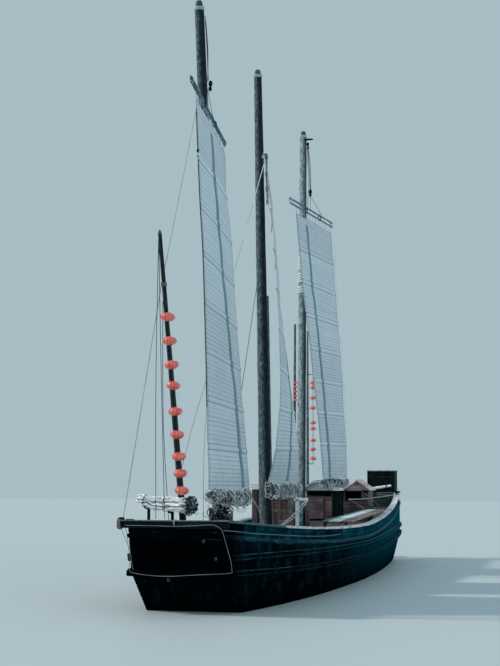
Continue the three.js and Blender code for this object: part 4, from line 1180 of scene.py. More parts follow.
def yards():
    for index, (key, sail) in enumerate(SAILS.items()):
        body = f"{key}_rig"
        work = Work()
        z, u, swing, stand = sail["yard"]
        low = (tuple(v - sail["twin"] for v in z), u, swing, stand)
        for row, shares in ((sail["yard"], (0.0, 1.0)), (low, (0.02, 0.98))):
            path = [on_sail(sail, row, share, belly=False) for share in spaced(*shares, 40)]
            radii = [SAIL["spar"] * taper * (1 + 0.05 * sin(i * 2.1 + index))
                     for i, taper in enumerate(spaced(1, 0.8, 40))]
            radii[0] *= 0.7
            radii[-1] *= 0.7
            work.tube(path, radii, 12)
        work.make(f"{key}_yard_spars", "yard", [f"{key}_yard"], body, 50)
        for k, share in enumerate((0.02, 0.35, 0.66, 0.96)):
            mid = mix(z[0], z[1], share) - sail["twin"] / 2
            ends = []
            for more in (0.0, 0.07):
                row = ((mid, mid), (mix(*u, share) + more,) * 2, swing, stand)
                ends.append(on_sail(sail, row, 0.5, belly=False))
            finish = "sail_cord" if k in (0, 3) else "dark_rope"
            high = SAIL["spar"] * 1.1 + sail["twin"] / 2
            lashing(f"{key}_yard_lashing_{k}", *ends, SAIL["spar"] * 1.2, high, 4, finish, 0.009, body)
        robands(key, sail, low, body)


def robands(key, sail, low, body):
    """Short cords that hang the sail's head from the lower spar."""
    work = Work()
    head = sail["rows"][-1]
    for i, share in enumerate(spaced(0.015, 0.985, 14)):
        p = on_sail(sail, head, share, 0.0)
        along = mix(*head[1], share)
        spar_share = (along - low[1][0]) / (low[1][1] - low[1][0])
        q = on_sail(sail, low, spar_share, belly=False)
        side = (0.02 if i % 2 else -0.02)
        work.tube([p + Vector((0, side, -0.03)), p.lerp(q, 0.5) + Vector((0, side, 0)), q], 0.008, 6)
    work.make(f"{key}_robands", "pale_rope", body=body)


def pleated(work, place, half, count, seed, pleats, sides, depth):
    """Cloth gathered round a line: a ring of pleats at each place, that wander along it."""
    side = (place(0.02) - place(0)).cross(Vector((0, 0, 1)))
    rings, tones, marks = [], [], []
    for s in spaced(0, 1, count):
        middle = place(s)
        along = (place(min(1, s + 0.01)) - place(max(0, s - 0.01))).normalized()
        side = (side - along * side.dot(along)).normalized()
        up = along.cross(side)
        w, h = half(s)
        ring = []
        for a in turns_of(sides):
            flow = round_noise(a, 0.9, s * 7 + seed) * 2.6
            fold = sin(pleats * a + flow * 2.4 + s * 3)
            fine = round_noise(a, 5, s * 26 + seed)
            deep = depth * (0.5 - 0.5 * fold) * (0.75 + 0.5 * fine)
            r = 1 - deep + 0.16 * fine
            ring.append(middle + side * (cos(a) * w * r) + up * (sin(a) * h * r))
            # The tone and mark paint shade into the pleats: darker in the hollows, with the line colour
            # deepest there, lighter on the ridges.
            tones.append(0.5 * fold + 0.5 * fine)
            marks.append(min(1, max(0, 2.2 * deep - 0.25)))
        rings.append(ring)
    work.skin(rings, 0, tones, marks)


def foot_bundles():
    for key, sail in SAILS.items():
        body = f"{key}_rig"
        foot = sail["rows"][0]
        fore, aft = sail["hang"]

        def depth(s):
            t = min(1, max(0, (s - 0.2) / 0.12))
            return mix(fore, aft, t * t * (3 - 2 * t))

        def place(s):
            p = on_sail(sail, foot, s)
            return Vector((p.x, p.y, p.z - 0.012 - depth(s) / 2))

        def half(s):
            end = min(1, 0.6 + 5 * min(s, 1 - s))
            lump = 1 + 0.12 * sin(23 * s) * sin(9 * s + 1)
            return 0.105 * lump * end, (depth(s) / 2 - 0.02) * min(1, lump) * end

        work = Work()
        pleated(work, place, half, 150, SAILS_SEED[key], 11, 120, 0.5)
        bundle = work.make(f"{key}_gathered_foot", "gathered", [f"{key}_foot_bundle"], body, 70)
        area = walled(bundle, 0.006, -1)
        length = (place(1) - place(0)).length
        boom = Work()
        line = (tuple(z - 0.012 - fore / 2 for z in foot[0]), sail["boom"], *foot[2:])
        path = [on_sail(sail, line, share, belly=False) for share in spaced(0, 1, 30)]
        boom.tube(path, [0.05 * (0.8 if i in (0, 30) else 1 + 0.04 * sin(i * 1.9)) for i in range(31)], 12)
        boom.make(f"{key}_boom", "yard", body=body, smooth=50)
        lines = brailing(key, place, half, length)


def brailing(key, place, half, length):
    """Thin lines tangled round the gathered cloth: some run along it, some round it, some hang or stray."""
    chance = random.Random(key + "_lines")
    vary, pick = chance.uniform, chance.choice
    work = Work()
    for index in range(int(BRAILS["each"] * length)):
        way = index % 5
        s, a = vary(0.0, 1.0), vary(0, 2 * pi)
        turn = pick((-1, 1)) * (vary(0.2, 1.2) if way < 2 else vary(0.8, 2.4))
        drift = vary(-0.55, 0.55) / length if way < 2 else vary(-0.2, 0.2) / length
        if way == 4:
            a, turn = -pi / 2 - turn / 2, turn * 0.6
        slack = vary(0.05, BRAILS["slack"]) * (1.5 if way == 4 else 0.5)
        stray = vary(0.03, 0.11) if way == 3 else 0.0
        seed = vary(0, 99)
        path = []
        for i in range(9):
            t = i / 8
            at = min(1.0, max(0.0, s + drift * t + rough((t * 3, seed, 0), 1.0, 0.08 / length)))
            along = (place(min(1, at + 0.01)) - place(max(0, at - 0.01))).normalized()
            side = along.cross(Vector((0, 0, 1))).normalized()
            b = a + turn * t + rough((t * 2, seed, 7), 1.0, 0.5)
            w, h = half(at)
            out = slack * sin(pi * t) ** 2 * (0.6 - 0.4 * sin(b)) + stray * t * t
            out += rough((t * 5, seed, 3), 1.0, 0.02)
            path.append(place(at) + side * cos(b) * (w + out) + Vector((0, 0, sin(b) * (h + out))))
        work.tube(curved(path, 15), vary(0.6, 1.0) * BRAILS["cord"], 4, pick((0, 0, 0, 1)))
    kinds = ["sail_cord", "dark_rope", "grey_rope"]
    return work.make(f"{key}_brailing_lines", kinds, body=f"{key}_rig")


SAILS_SEED = {"fore": 2.0, "main": 31.0, "mizzen": 57.0}
BRAILS = {"each": 62, "slack": 0.1, "cord": 0.0105}


# Lanterns

LANTERNS = {
    "bow_lanterns": {
        "mast": "bow_lantern_mast", "r": 0.178, "tall": 0.24, "away": (0.125, -0.285), "under": 0.035,
        "z": (3.6, 4.004, 4.397, 4.906, 5.441, 6.04, 6.512, 7.059, 7.603),
    },
    "quarter_lanterns": {
        "mast": "quarter_mast", "r": 0.085, "tall": 0.105, "away": (0.06, -0.17), "under": 0.15,
        "z": (6.725, 6.88, 7.04, 7.2, 7.356),
    },
    "stern_lanterns": {
        "mast": "stern_lantern_mast", "r": 0.122, "tall": 0.165, "away": (0.24, -0.12), "under": 0.15,
        "z": (4.614, 4.95, 5.291, 5.727, 5.946, 6.503, 6.88, 7.27, 7.445),
    },
}


def lantern(work, middle, r, tall, tilt):
    """A ribbed globe with a gilt crown and foot."""
    ribs, sides = 12, 36
    rings, marks = [], []
    for i in range(13):
        a = pi * (0.1 + 0.8 * i / 12)
        ring = []
        for b in turns_of(sides):
            rib = abs(sin(ribs * b / 2))
            flute = 0.93 + 0.07 * rib ** 0.7
            p = Vector((cos(b) * sin(a) * r * flute, sin(b) * sin(a) * r * flute,
                        -cos(a) * tall / 2))
            ring.append(middle + tilt @ p)
            marks.append(0.6 * max(0.0, 1 - rib * 5))
        rings.append(ring)
    work.skin(rings, 0, marks=marks)
    for sign in (1, -1):
        low, high = 0.44 * tall * sign, 0.5 * tall * sign
        ring = [middle + tilt @ Vector((0, 0, z)) for z in (low, mix(low, high, 0.5), high)]
        work.tube(ring, [0.36 * r, 0.38 * r, 0.24 * r], 14, 1)


def lantern_strings():
    for index, (name, row) in enumerate(LANTERNS.items()):
        vary = random.Random(index).uniform
        work = Work()
        places = [on_mast(row["mast"], z, *row["away"]) for z in row["z"]]
        for p in places:
            tilt = Matrix.Rotation(vary(-0.2, 0.12), 4, "Y")
            lantern(work, p, row["r"] * vary(0.94, 0.99), row["tall"] * 0.86, tilt)
        low, high = row["z"][0] - row["tall"] / 2 - row["under"], row["z"][-1] + row["tall"] / 2 + 0.26
        ends = [on_mast(row["mast"], z, *row["away"]) for z in (low, high)]
        work.tube([ends[0].lerp(ends[1], i / 20) for i in range(21)], 0.009, 8, 2)
        far = hypot(*row["away"])
        for z in (low + 0.028, high - 0.028):
            near = radius_at(row["mast"], z) / far
            a = on_mast(row["mast"], z, *row["away"])
            b = on_mast(row["mast"], z, row["away"][0] * near, row["away"][1] * near)
            work.tube([a, a.lerp(b, 0.5), b], [0.01, 0.012, 0.016], 8, 2)
        work.make(name + "_silk", ["silk", "gilt", "dark_rope"], [name], smooth=50)


# Deckhouse

HOUSE = {
    "x": (-1.24, 1.04), "y": (6.1, 7.0), "top": 3.42, "wall": 0.05,
    "door": ((-1.13, -0.59), 3.19), "slot": ((-1.18, -0.3), (3.25, 3.385)),
    "bay": ((0.21, 0.8), (3.08, 3.385)), "post": (-0.25, 0.13),
}
BOARD = {"high": 0.145, "thick": 0.016, "gap": 0.006}


def free_runs(whole, holes):
    """What is left of a stretch when some others are taken out of it."""
    runs = [whole]
    for low, high in holes:
        runs = [part for a, b in runs for part in ((a, min(b, low)), (max(a, high), b))
                if part[1] - part[0] > 0.03]
    return runs


def boarding(work, span, floor, top, openings, place, vary):
    """Level boards over a wall, cut round its openings. place turns along, out and up into a point."""
    z = floor
    while z < top - 0.02:
        high = min(top, z + BOARD["high"])
        holes = [run for run, (low, up) in openings if low < high - 0.01 and up > z + 0.01]
        for a, b in free_runs(span, holes):
            corners = [place(a, 0.0, z + BOARD["gap"]), place(b, BOARD["thick"], high)]
            low = tuple(min(p, q) for p, q in zip(*corners))
            up = tuple(max(p, q) for p, q in zip(*corners))
            work.block(low, up, 0, vary(-0.6, 0.5), 0.005)
        z = high


def deckhouse():
    vary = random.Random(12).uniform
    (x0, x1), (y0, y1), top = HOUSE["x"], HOUSE["y"], HOUSE["top"]
    front = max(deck_at(y0), deck_at(y0 + HOUSE["wall"]))
    door = (HOUSE["door"][0], (front + 0.06, HOUSE["door"][1]))
    work = Work()
    boarding(work, (x0, x1), front, top, [door, HOUSE["slot"], HOUSE["bay"]],
             lambda a, out, z: (a, y0 - out, z), vary)
    boarding(work, (x0, x1), deck_at(y1), top, [], lambda a, out, z: (a, y1 + out, z), vary)
    for x, sign in ((x1, 1), (x0, -1)):
        boarding(work, (y0, y1), deck_at(y1), top, [], lambda a, out, z: (x + sign * out, a, z), vary)
    work.make("house_boards", "house")

    trim = Work()
    for (a, b), (low, high) in (door, HOUSE["slot"], HOUSE["bay"]):
        for x in (a - 0.025, b + 0.025):
            trim.block((x - 0.022, y0 - 0.036, low), (x + 0.022, y0 - 0.001, high + 0.02), 0, 0.3, 0.006)
        trim.block((a - 0.05, y0 - 0.04, high), (b + 0.05, y0 - 0.001, high + 0.045), 0, 0.2, 0.006)
    (a, b), (low, high) = HOUSE["slot"]
    for k in range(11):
        x = mix(a, b, (k + 0.5) / 11)
        trim.block((x - 0.012, y0 + 0.012, low), (x + 0.012, y0 + 0.03, high), 1, 0.0, 0.004)
    trim.make("house_trim", ["cheek", "shade_wood"])

    post = Work()
    for k, (a, b) in enumerate(parts_of(*HOUSE["post"], 3, 0.004, 0.004)):
        post.block((a, 5.905, front), (b, 6.08, 3.4), 0, 0.2 * k - 0.2, 0.01)
    post.block((x0 - 0.04, 5.97, top - 0.03), (x1 + 0.06, 6.05, top + 0.004), 0, 0, 0.01)
    post.make("house_post", "shade_wood")

    leaf = Work()
    (dx0, dx1), dz1 = HOUSE["door"]
    low, high = front + 0.066, dz1 - 0.006
    dx0, dx1 = dx0 + 0.006, dx1 - 0.006
    for a, b in parts_of(dx0, dx1, 4, 0.002, 0.002):
        leaf.block((a, 6.062, low), (b, 6.094, high), 0, vary(-0.3, 0.3), 0.005)
    for z in (low + 0.1, high - 0.16):
        leaf.block((dx0 + 0.02, 6.054, z), (dx1 - 0.02, 6.064, z + 0.06), 0, 0.3, 0.004)
    handle = [(dx1 - 0.06, y, z) for y, z in ((6.05, 2.8), (6.03, 2.82), (6.03, 2.88), (6.05, 2.9))]
    leaf.tube(handle, 0.008, 8, 1)
    leaf.make("door_leaf", ["house", "iron"], ["house_door"], "door")
    roofs()


def roofs():
    top = HOUSE["top"] + 0.006
    ends = (5.92, 7.06)
    vary = random.Random(21).uniform
    work = Work()

    def drawn(ring, ys):
        return [[p + Vector((0, y, 0)) for p in ring] for y in ys]

    def arch(s):
        return mix(-1.3, -0.22, s), top + 0.31 * sin(pi * s) ** 0.8

    edges = [*(arch(s) for s in spaced(0, 1, 14)), (0.182, top)]
    for (xa, za), (xb, zb) in zip(edges, edges[1:]):
        a, b = Vector((xa, 0, za)), Vector((xb, 0, zb))
        out = Vector((-(b - a).z, 0, (b - a).x)).normalized() * 0.04
        inset = (b - a).normalized() * 0.004
        ring = [a + inset, b - inset, b - inset + out, a + inset + out]
        work.skin(drawn(ring, ends), 0, vary(-0.4, 0.4))
    for y in (5.96, 6.5, 7.02):
        path = [Vector((x, y, z + 0.05)) for x, z in (arch(s / 20) for s in range(20))]
        work.tube(path, 0.014, 6, 1)
    gable = [(-1.24, top), *(arch(s / 16) for s in range(1, 16)), (-0.26, top)]
    for front, tone in ((6.13, 0.3), (6.96, -0.2)):
        work.skin([[(x, y, z) for x, z in gable] for y in (front, front + 0.03)], 0, tone)
    work.make("starboard_roof_boards", ["pale_roof", "shade_wood"], ["roof_starboard"])

    work = Work()
    ridge, eaves = Vector((0.664, 0, top + 0.345)), (Vector((0.188, 0, top)), Vector((1.14, 0, top)))
    for foot in eaves:
        for k in range(5):
            a, b = foot.lerp(ridge, k / 5), foot.lerp(ridge, (k + 1) / 5)
            slope = (b - a).normalized()
            out = Vector((-slope.z, 0, slope.x)) * (0.034 if slope.x > 0 else -0.034)
            ring = [a + slope * 0.003, b - slope * 0.003, b - slope * 0.003 + out, a + slope * 0.003 + out]
            work.skin(drawn(ring, ends), 0, vary(-0.5, 0.5))
    work.tube([ridge + Vector((0, y, 0.03)) for y in (5.92, 6.5, 7.06)], 0.03, 8, 0)
    for y in (6.12, 6.95):
        for k in range(4):
            z0, z1 = k / 4, (k + 1) / 4
            a, b = eaves[0].lerp(ridge, z0), eaves[1].lerp(ridge, z0)
            c, d = eaves[1].lerp(ridge, z1), eaves[0].lerp(ridge, z1)
            ring = [a, b, c, d] if k < 3 else [a, b, ridge]
            ring = [p + Vector((0, 0, 0.002)) for p in ring]
            work.skin(drawn(ring, (y, y + 0.03)), 0, vary(-0.3, 0.3))
    work.make("port_roof_boards", "roof", ["roof_port"])


# What stands on deck

def hatches():
    vary = random.Random(8).uniform
    for name, (ya, yb) in (("fore_hatch", (-7.4, -5.7)), ("middle_hatch", (-1.15, 0.15))):
        base = max(deck_at(ya), deck_at(yb))
        top = base + 0.26
        work = Work()
        for z0, z1 in parts_of(base, top, 2, after=0.003):
            for x in (-0.37, 0.32):
                work.block((x, ya, z0), (x + 0.05, yb, z1), 0, vary(-0.3, 0.3), 0.006)
            for y in (ya, yb - 0.05):
                work.block((-0.32, y, z0), (0.32, y + 0.05, z1), 0, vary(-0.3, 0.3), 0.006)
        work.make(f"{name}_boards", "gear", [f"{name}_coaming"])
        well = Work()
        # A near-black sheet inside the coaming: painted shade of the hold below.
        well.block((-0.32, ya + 0.05, base - 0.001), (0.32, yb - 0.05, base + 0.004), bevel=0.001)
        well.make(f"{name}_hold", "hold")
        leaf_low = top + 0.006
        for side, sign in SIDES:
            leaf = Work()
            for part in parts_of(0.004, 0.41, 3, after=0.003):
                a, b = sorted(sign * x for x in part)
                low, high = (a, ya - 0.04, leaf_low), (b, yb + 0.04, leaf_low + 0.03)
                leaf.block(low, high, 0, vary(-0.5, 0.5), 0.005)
            a, b = sorted((sign * 0.01, sign * 0.4))
            for y in (ya + 0.15, (ya + yb) / 2, yb - 0.15):
                leaf.block((a, y - 0.04, leaf_low + 0.028), (b, y + 0.04, leaf_low + 0.04), 0, 0.2, 0.004)
            body = f"{name.split('_')[0]}_leaf_{side}"
            leaf.make(f"{name}_lid_{side}", "deck", [f"{name}_leaf_{side}"], body)


# The line of the stowed sail, x and top of each crutch, and y of their posts and of their arms' tips
STOWED = {
    "line": [(-0.96, -12.44, 3.415), (-0.515, -12.44, 3.305), (-0.06, -12.44, 3.275), (0.36, -12.44, 3.235)],
    "crutches": [(-0.752, 3.228), (-0.155, 3.125)], "post": (-12.22, -12.16), "reach": -12.5,
}


def stowed_sail():
    path = curved([Vector(p) for p in STOWED["line"]], 40)

    def place(s):
        i = min(38, int(s * 39))
        return path[i].lerp(path[i + 1], s * 39 - i)

    def half(s):
        end = min(1, 0.7 + 6 * min(s, 1 - s))
        return 0.145 * end, mix(0.118, 0.176, min(1, s * 2.2)) * end * (1 + 0.04 * sin(23 * s))

    work = Work()
    pleated(work, place, half, 110, 11.0, 9, 144, 0.55)
    roll = work.make("stowed_sail_cloth", "white_cloth", ["stowed_sail"], smooth=70)
    area = walled(roll, 0.006, -1)
    for k, s in enumerate((0.16, 0.55)):
        step = (place(s + 0.01) - place(s)).normalized() * 0.014
        ends = place(s) - step, place(s) + step
        lashing(f"stowed_sail_tie_{k}", *ends, 0.148, half(s)[1], 1, "dark_rope", 0.009)
    heap = Vector((0.36, -12.44, 3.24))
    knot_of_line("stowed_sail_line", heap, (0.17, 0.14, 0.2), 34, "dark_rope", 0.012, 3, spread=0.9)
    knot_of_line("stowed_sail_thread", heap, (0.18, 0.15, 0.22), 9, "grey_rope", 0.006, 9, spread=0.9)


def knot_of_line(name, middle, size, loops, finish, cord, seed, body="root", spread=0.3):
    """Line bundled up in a heap of crossing loops; spread moves their middles apart."""
    vary = random.Random(seed).uniform
    work = Work()
    for _ in range(loops):
        turn = Matrix.Rotation(vary(0, pi), 3, Vector([vary(-1, 1) for _ in range(3)]))
        wide, arc = vary(0.4, 1.0), vary(0.4, 1.0) * 2 * pi
        off = Vector([vary(-spread, spread) * (1.2 - wide) for _ in range(3)])
        path = []
        for i in range(15):
            a = arc * i / 14
            r = wide * (1 + rough((a, seed, wide * 9), 1.2, 0.35))
            p = off + turn @ Vector((cos(a) * r, sin(a) * r, 0.3 * sin(3 * a)))
            path.append(middle + Vector((p.x * size[0], p.y * size[1], p.z * size[2])))
        work.tube(curved(path, 22), cord, 5)
    return work.make(name, finish, body=body)


def deck_gear():
    vary = random.Random(5).uniform
    locker = Work()
    x0, x1, y0, y1 = -0.26, 0.26, -2.6, -2.0
    base = max(deck_at(y0), deck_at(y1))
    top = 3.27
    for z0, z1 in parts_of(base, top, 8, 0.002, 0.002):
        locker.block((x0, y0, z0), (x1, y1, z1), 0, vary(-0.5, 0.5), 0.008)
    for x in (x0 - 0.012, (x0 + x1) / 2 - 0.03, x1 - 0.05):
        locker.block((x, y0 - 0.02, base), (x + 0.06, y0 + 0.01, top), 0, 0.25, 0.006)
    for a, b in parts_of(x0 - 0.025, x1 + 0.025, 4, after=0.003):
        locker.block((a, y0 - 0.025, top), (b, y1 + 0.025, top + 0.04), 1, vary(-0.3, 0.3), 0.008)
    locker.make("deck_locker_boards", ["house", "gear"], ["deck_locker"])

    post = Work()
    low = max(deck_at(0.5), deck_at(0.6))
    # The starboard half is chipped white paint, made bright as painted light, and the port half dark teal as
    # painted shade for the side away from the sun.
    post.block((-0.27, 0.5, low), (-0.14, 0.6, 3.2), 0, 0.3, 0.016)
    post.block((-0.138, 0.503, low), (-0.05, 0.6, 3.2), 1, 0.6, 0.01)
    post.block((-0.32, 0.5, 3.13), (0.15, 0.6, 3.24), 0, 0.4, 0.02)
    post.make("belaying_post_timber", ["post_paint", "yard"], ["belaying_post"])

    for side, sign in SIDES:
        bitt = Work()
        x, ya, yb = sign * 0.95, -11.4, -11.26
        base = max(deck_at(ya), deck_at(yb))
        bitt.block((x - 0.07, ya, base), (x + 0.07, yb, 2.8), 0, 0.1, 0.016)
        bitt.block((x - 0.13, ya - 0.02, 2.76), (x + 0.13, yb + 0.02, 2.85), 0, 0.3, 0.02)
        bitt.make(f"bitt_{side}_timber", "gear", [f"bitt_{side}"])
        turns = [(x, -11.33, base + up) for up in (0.1, 0.24)]
        lashing(f"bitt_{side}_turns", *turns, 0.118, 0.118, 5, "pale_rope", 0.016, up=(0, 1, 0))

    crutch = Work()
    (y0, y1), reach = STOWED["post"], STOWED["reach"]
    base = max(deck_at(y0), deck_at(y1))
    for x, lowest in STOWED["crutches"]:
        crutch.block((x - 0.032, y0, base), (x + 0.032, y1, lowest - 0.02), 0, 0.1, 0.01)
        arm = [(x, y1 - 0.01, lowest - 0.04), (x, reach + 0.1, lowest - 0.04), (x, reach, lowest - 0.012)]
        crutch.tube(curved(arm, 8), [0.032 - 0.0015 * i for i in range(9)], 8)
    crutch.block((-0.752, y0, base), (-0.155, y1, base + 0.06), 0, 0.2, 0.01)
    crutch.make("stowed_sail_crutches", "shade_wood", ["crutches"])


def side_planks():
    vary = random.Random(17).uniform
    near, far = (-2.4, (1.25, 2.23), 2.56), (4.4, (1.25, 1.97), 2.752)
    work = Work()
    for k in range(5):
        a = (mix(*near[1], (k + 0.5) / 5), near[0], near[2] + 0.024)
        b = (mix(*far[1], (k + 0.5) / 5), far[0], far[2] + 0.024)
        wide = (mix(near[1][1] - near[1][0], far[1][1] - far[1][0], 0.5)) / 5 - 0.012
        work.board(a, b, wide, 0.048, (2, 3, 3, 0, 0)[k], vary(-0.3, 0.4))
    for share in (0.04, 0.27, 0.5, 0.73, 0.96):
        y = mix(near[0], far[0], share)
        x0, x1 = 1.25, mix(near[1][1], far[1][1], share)
        z = mix(near[2], far[2], share)
        work.block((x0 + 0.02, y - 0.04, z - 0.05), (x1 - 0.3, y + 0.04, z - 0.001), 1, 0.0, 0.008)
    for share in (0.04, 0.5, 0.96):
        y = mix(near[0], far[0], share)
        top = mix(near[2], far[2], share) + 0.01
        work.block((1.255, y - 0.045, deck_at(y) + 0.006), (1.345, y + 0.045, top), 1, 0, 0.01)
    kinds = ["bench", "cheek", "teal_paint", "pale_roof"]
    work.make("side_plank_boards", kinds, ["side_planks"])


def stern_gear():
    vary = random.Random(31).uniform
    low = rail_top(12.3) + REST
    floor = Work()
    for k in range(5):
        y0, y1 = 11.3 + 0.2 * k + 0.003, 11.3 + 0.2 * (k + 1) - 0.003
        floor.block((-1.18, y0, low), (1.18, y1, low + 0.05), 0, vary(-0.4, 0.4), 0.008)
    floor.make("stern_floor_boards", "shade_wood", ["stern_floor"])

    wall = Work()
    front = 11.3
    foot, sheer = at_y("deck", front), at_y("sheer", front)
    half = (foot[0] - PLANK - 0.025, sheer[0] + RAIL["out"] - RAIL["wide"] - 0.015)
    base, shoulder = deck_at(front + 0.05), sheer[2]
    for a, b in parts_of(base, low - 0.001, 6, 0.003, 0.003):
        wide = [mix(*half, min(1, (z - base) / (shoulder - base))) for z in (a, b)]
        ring = [(-wide[0], a), (wide[0], a), (wide[1], b), (-wide[1], b)]
        tone = vary(-0.4, 0.5)
        wall.skin([[(x, y, z) for x, z in ring] for y in (front, front + 0.05)], 0, tone)
    for x in (-0.9, -0.3, 0.3, 0.9):
        wall.block((x - 0.03, front - 0.02, base + 0.01), (x + 0.03, front + 0.01, low - 0.01), 0, 0.2, 0.006)
    wall.make("stern_bulkhead_boards", "dark_gear", ["stern_bulkhead"])

    box = Work()
    x0, x1, y0, y1 = -0.02, 1.06, 11.56, 12.24
    base, top = low + 0.051, 4.14
    for z0, z1 in parts_of(base, top, 7, 0.0005, 0.0005):
        box.block((x0, y0, z0), (x1, y1, z1), 0, vary(-0.1, 0.1), 0.001)
    for x in (x0 - 0.01, x1 - 0.05):
        box.block((x, y0 - 0.016, base), (x + 0.06, y0 + 0.02, top), 0, 0.0, 0.004)
    for a, b in parts_of(y0 - 0.02, y1 + 0.02, 4, after=0.003):
        box.block((x0 - 0.02, a, top), (x1 + 0.02, b, top + 0.04), 1, vary(-0.3, 0.3), 0.008)
    box.make("stern_box_boards", ["shade_wood", "gear"], ["stern_box"])

    roll = Work()
    z = base + 0.085

    def place(s):
        return Vector((mix(0.13, 0.95, s), 11.42, mix(z, z + 0.13, s)))

    pleated(roll, place, lambda s: (mix(0.078, 0.05, s), mix(0.07, 0.045, s)), 40, 80.0, 5, 80, 0.16)
    cloth = roll.make("stern_rolled_cloth", "white_cloth", ["stern_roll"], smooth=70)
    area = walled(cloth, 0.006, -1)
    for k, s in enumerate((0.2, 0.78)):
        step = Vector((0.03, 0, 0))
        lashing(f"stern_roll_tie_{k}", place(s) - step, place(s) + step, 0.066, 0.06, 2, "dark_rope", 0.008)


def rudder():
    vary = random.Random(2).uniform
    work = Work()
    stock = [Vector((0, 12.95, z)) for z in spaced(0.26, 4.05, 40)]
    pole(work, stock, [0.085] * 41, 0, 18, 0.05, 3.0)
    for k, (y0, y1) in enumerate(parts_of(12.72, 13.9, 5, 0.002, 0.002)):
        drop = 0.035 * abs(k - 2)
        work.block((-0.042, y0, 0.265 + drop), (0.042, y1, 1.495 - drop), 1, vary(-0.4, 0.4), 0.012)
    for z in (0.5, 1.2):
        work.block((-0.052, 12.86, z), (0.052, 13.86, z + 0.06), 2, 0, 0.006)
    work.make("rudder_blade", ["tar", "tar", "iron"], ["rudder"], "steering")
    arm = Work()
    path = [Vector((0, y, z)) for y, z in zip(spaced(13.05, 12.38, 24), spaced(4.1103, 4.13, 24))]
    arm.tube(path, [r * (0.85 if i in (0, 24) else 1) for i, r in enumerate(spaced(0.06, 0.04, 24))], 12)
    arm.make("tiller_arm", "yard", ["tiller"], "steering")


# Ropes made fast at both ends

def head_of(key, share, drop=0.0):
    """A point on a sail's yard."""
    return on_sail(SAILS[key], SAILS[key]["yard"], share, belly=False) - Vector((0, 0, drop))


def edge_of(key, height, share):
    sail = SAILS[key]
    return on_sail(sail, row_at(sail, (height, height)), share)


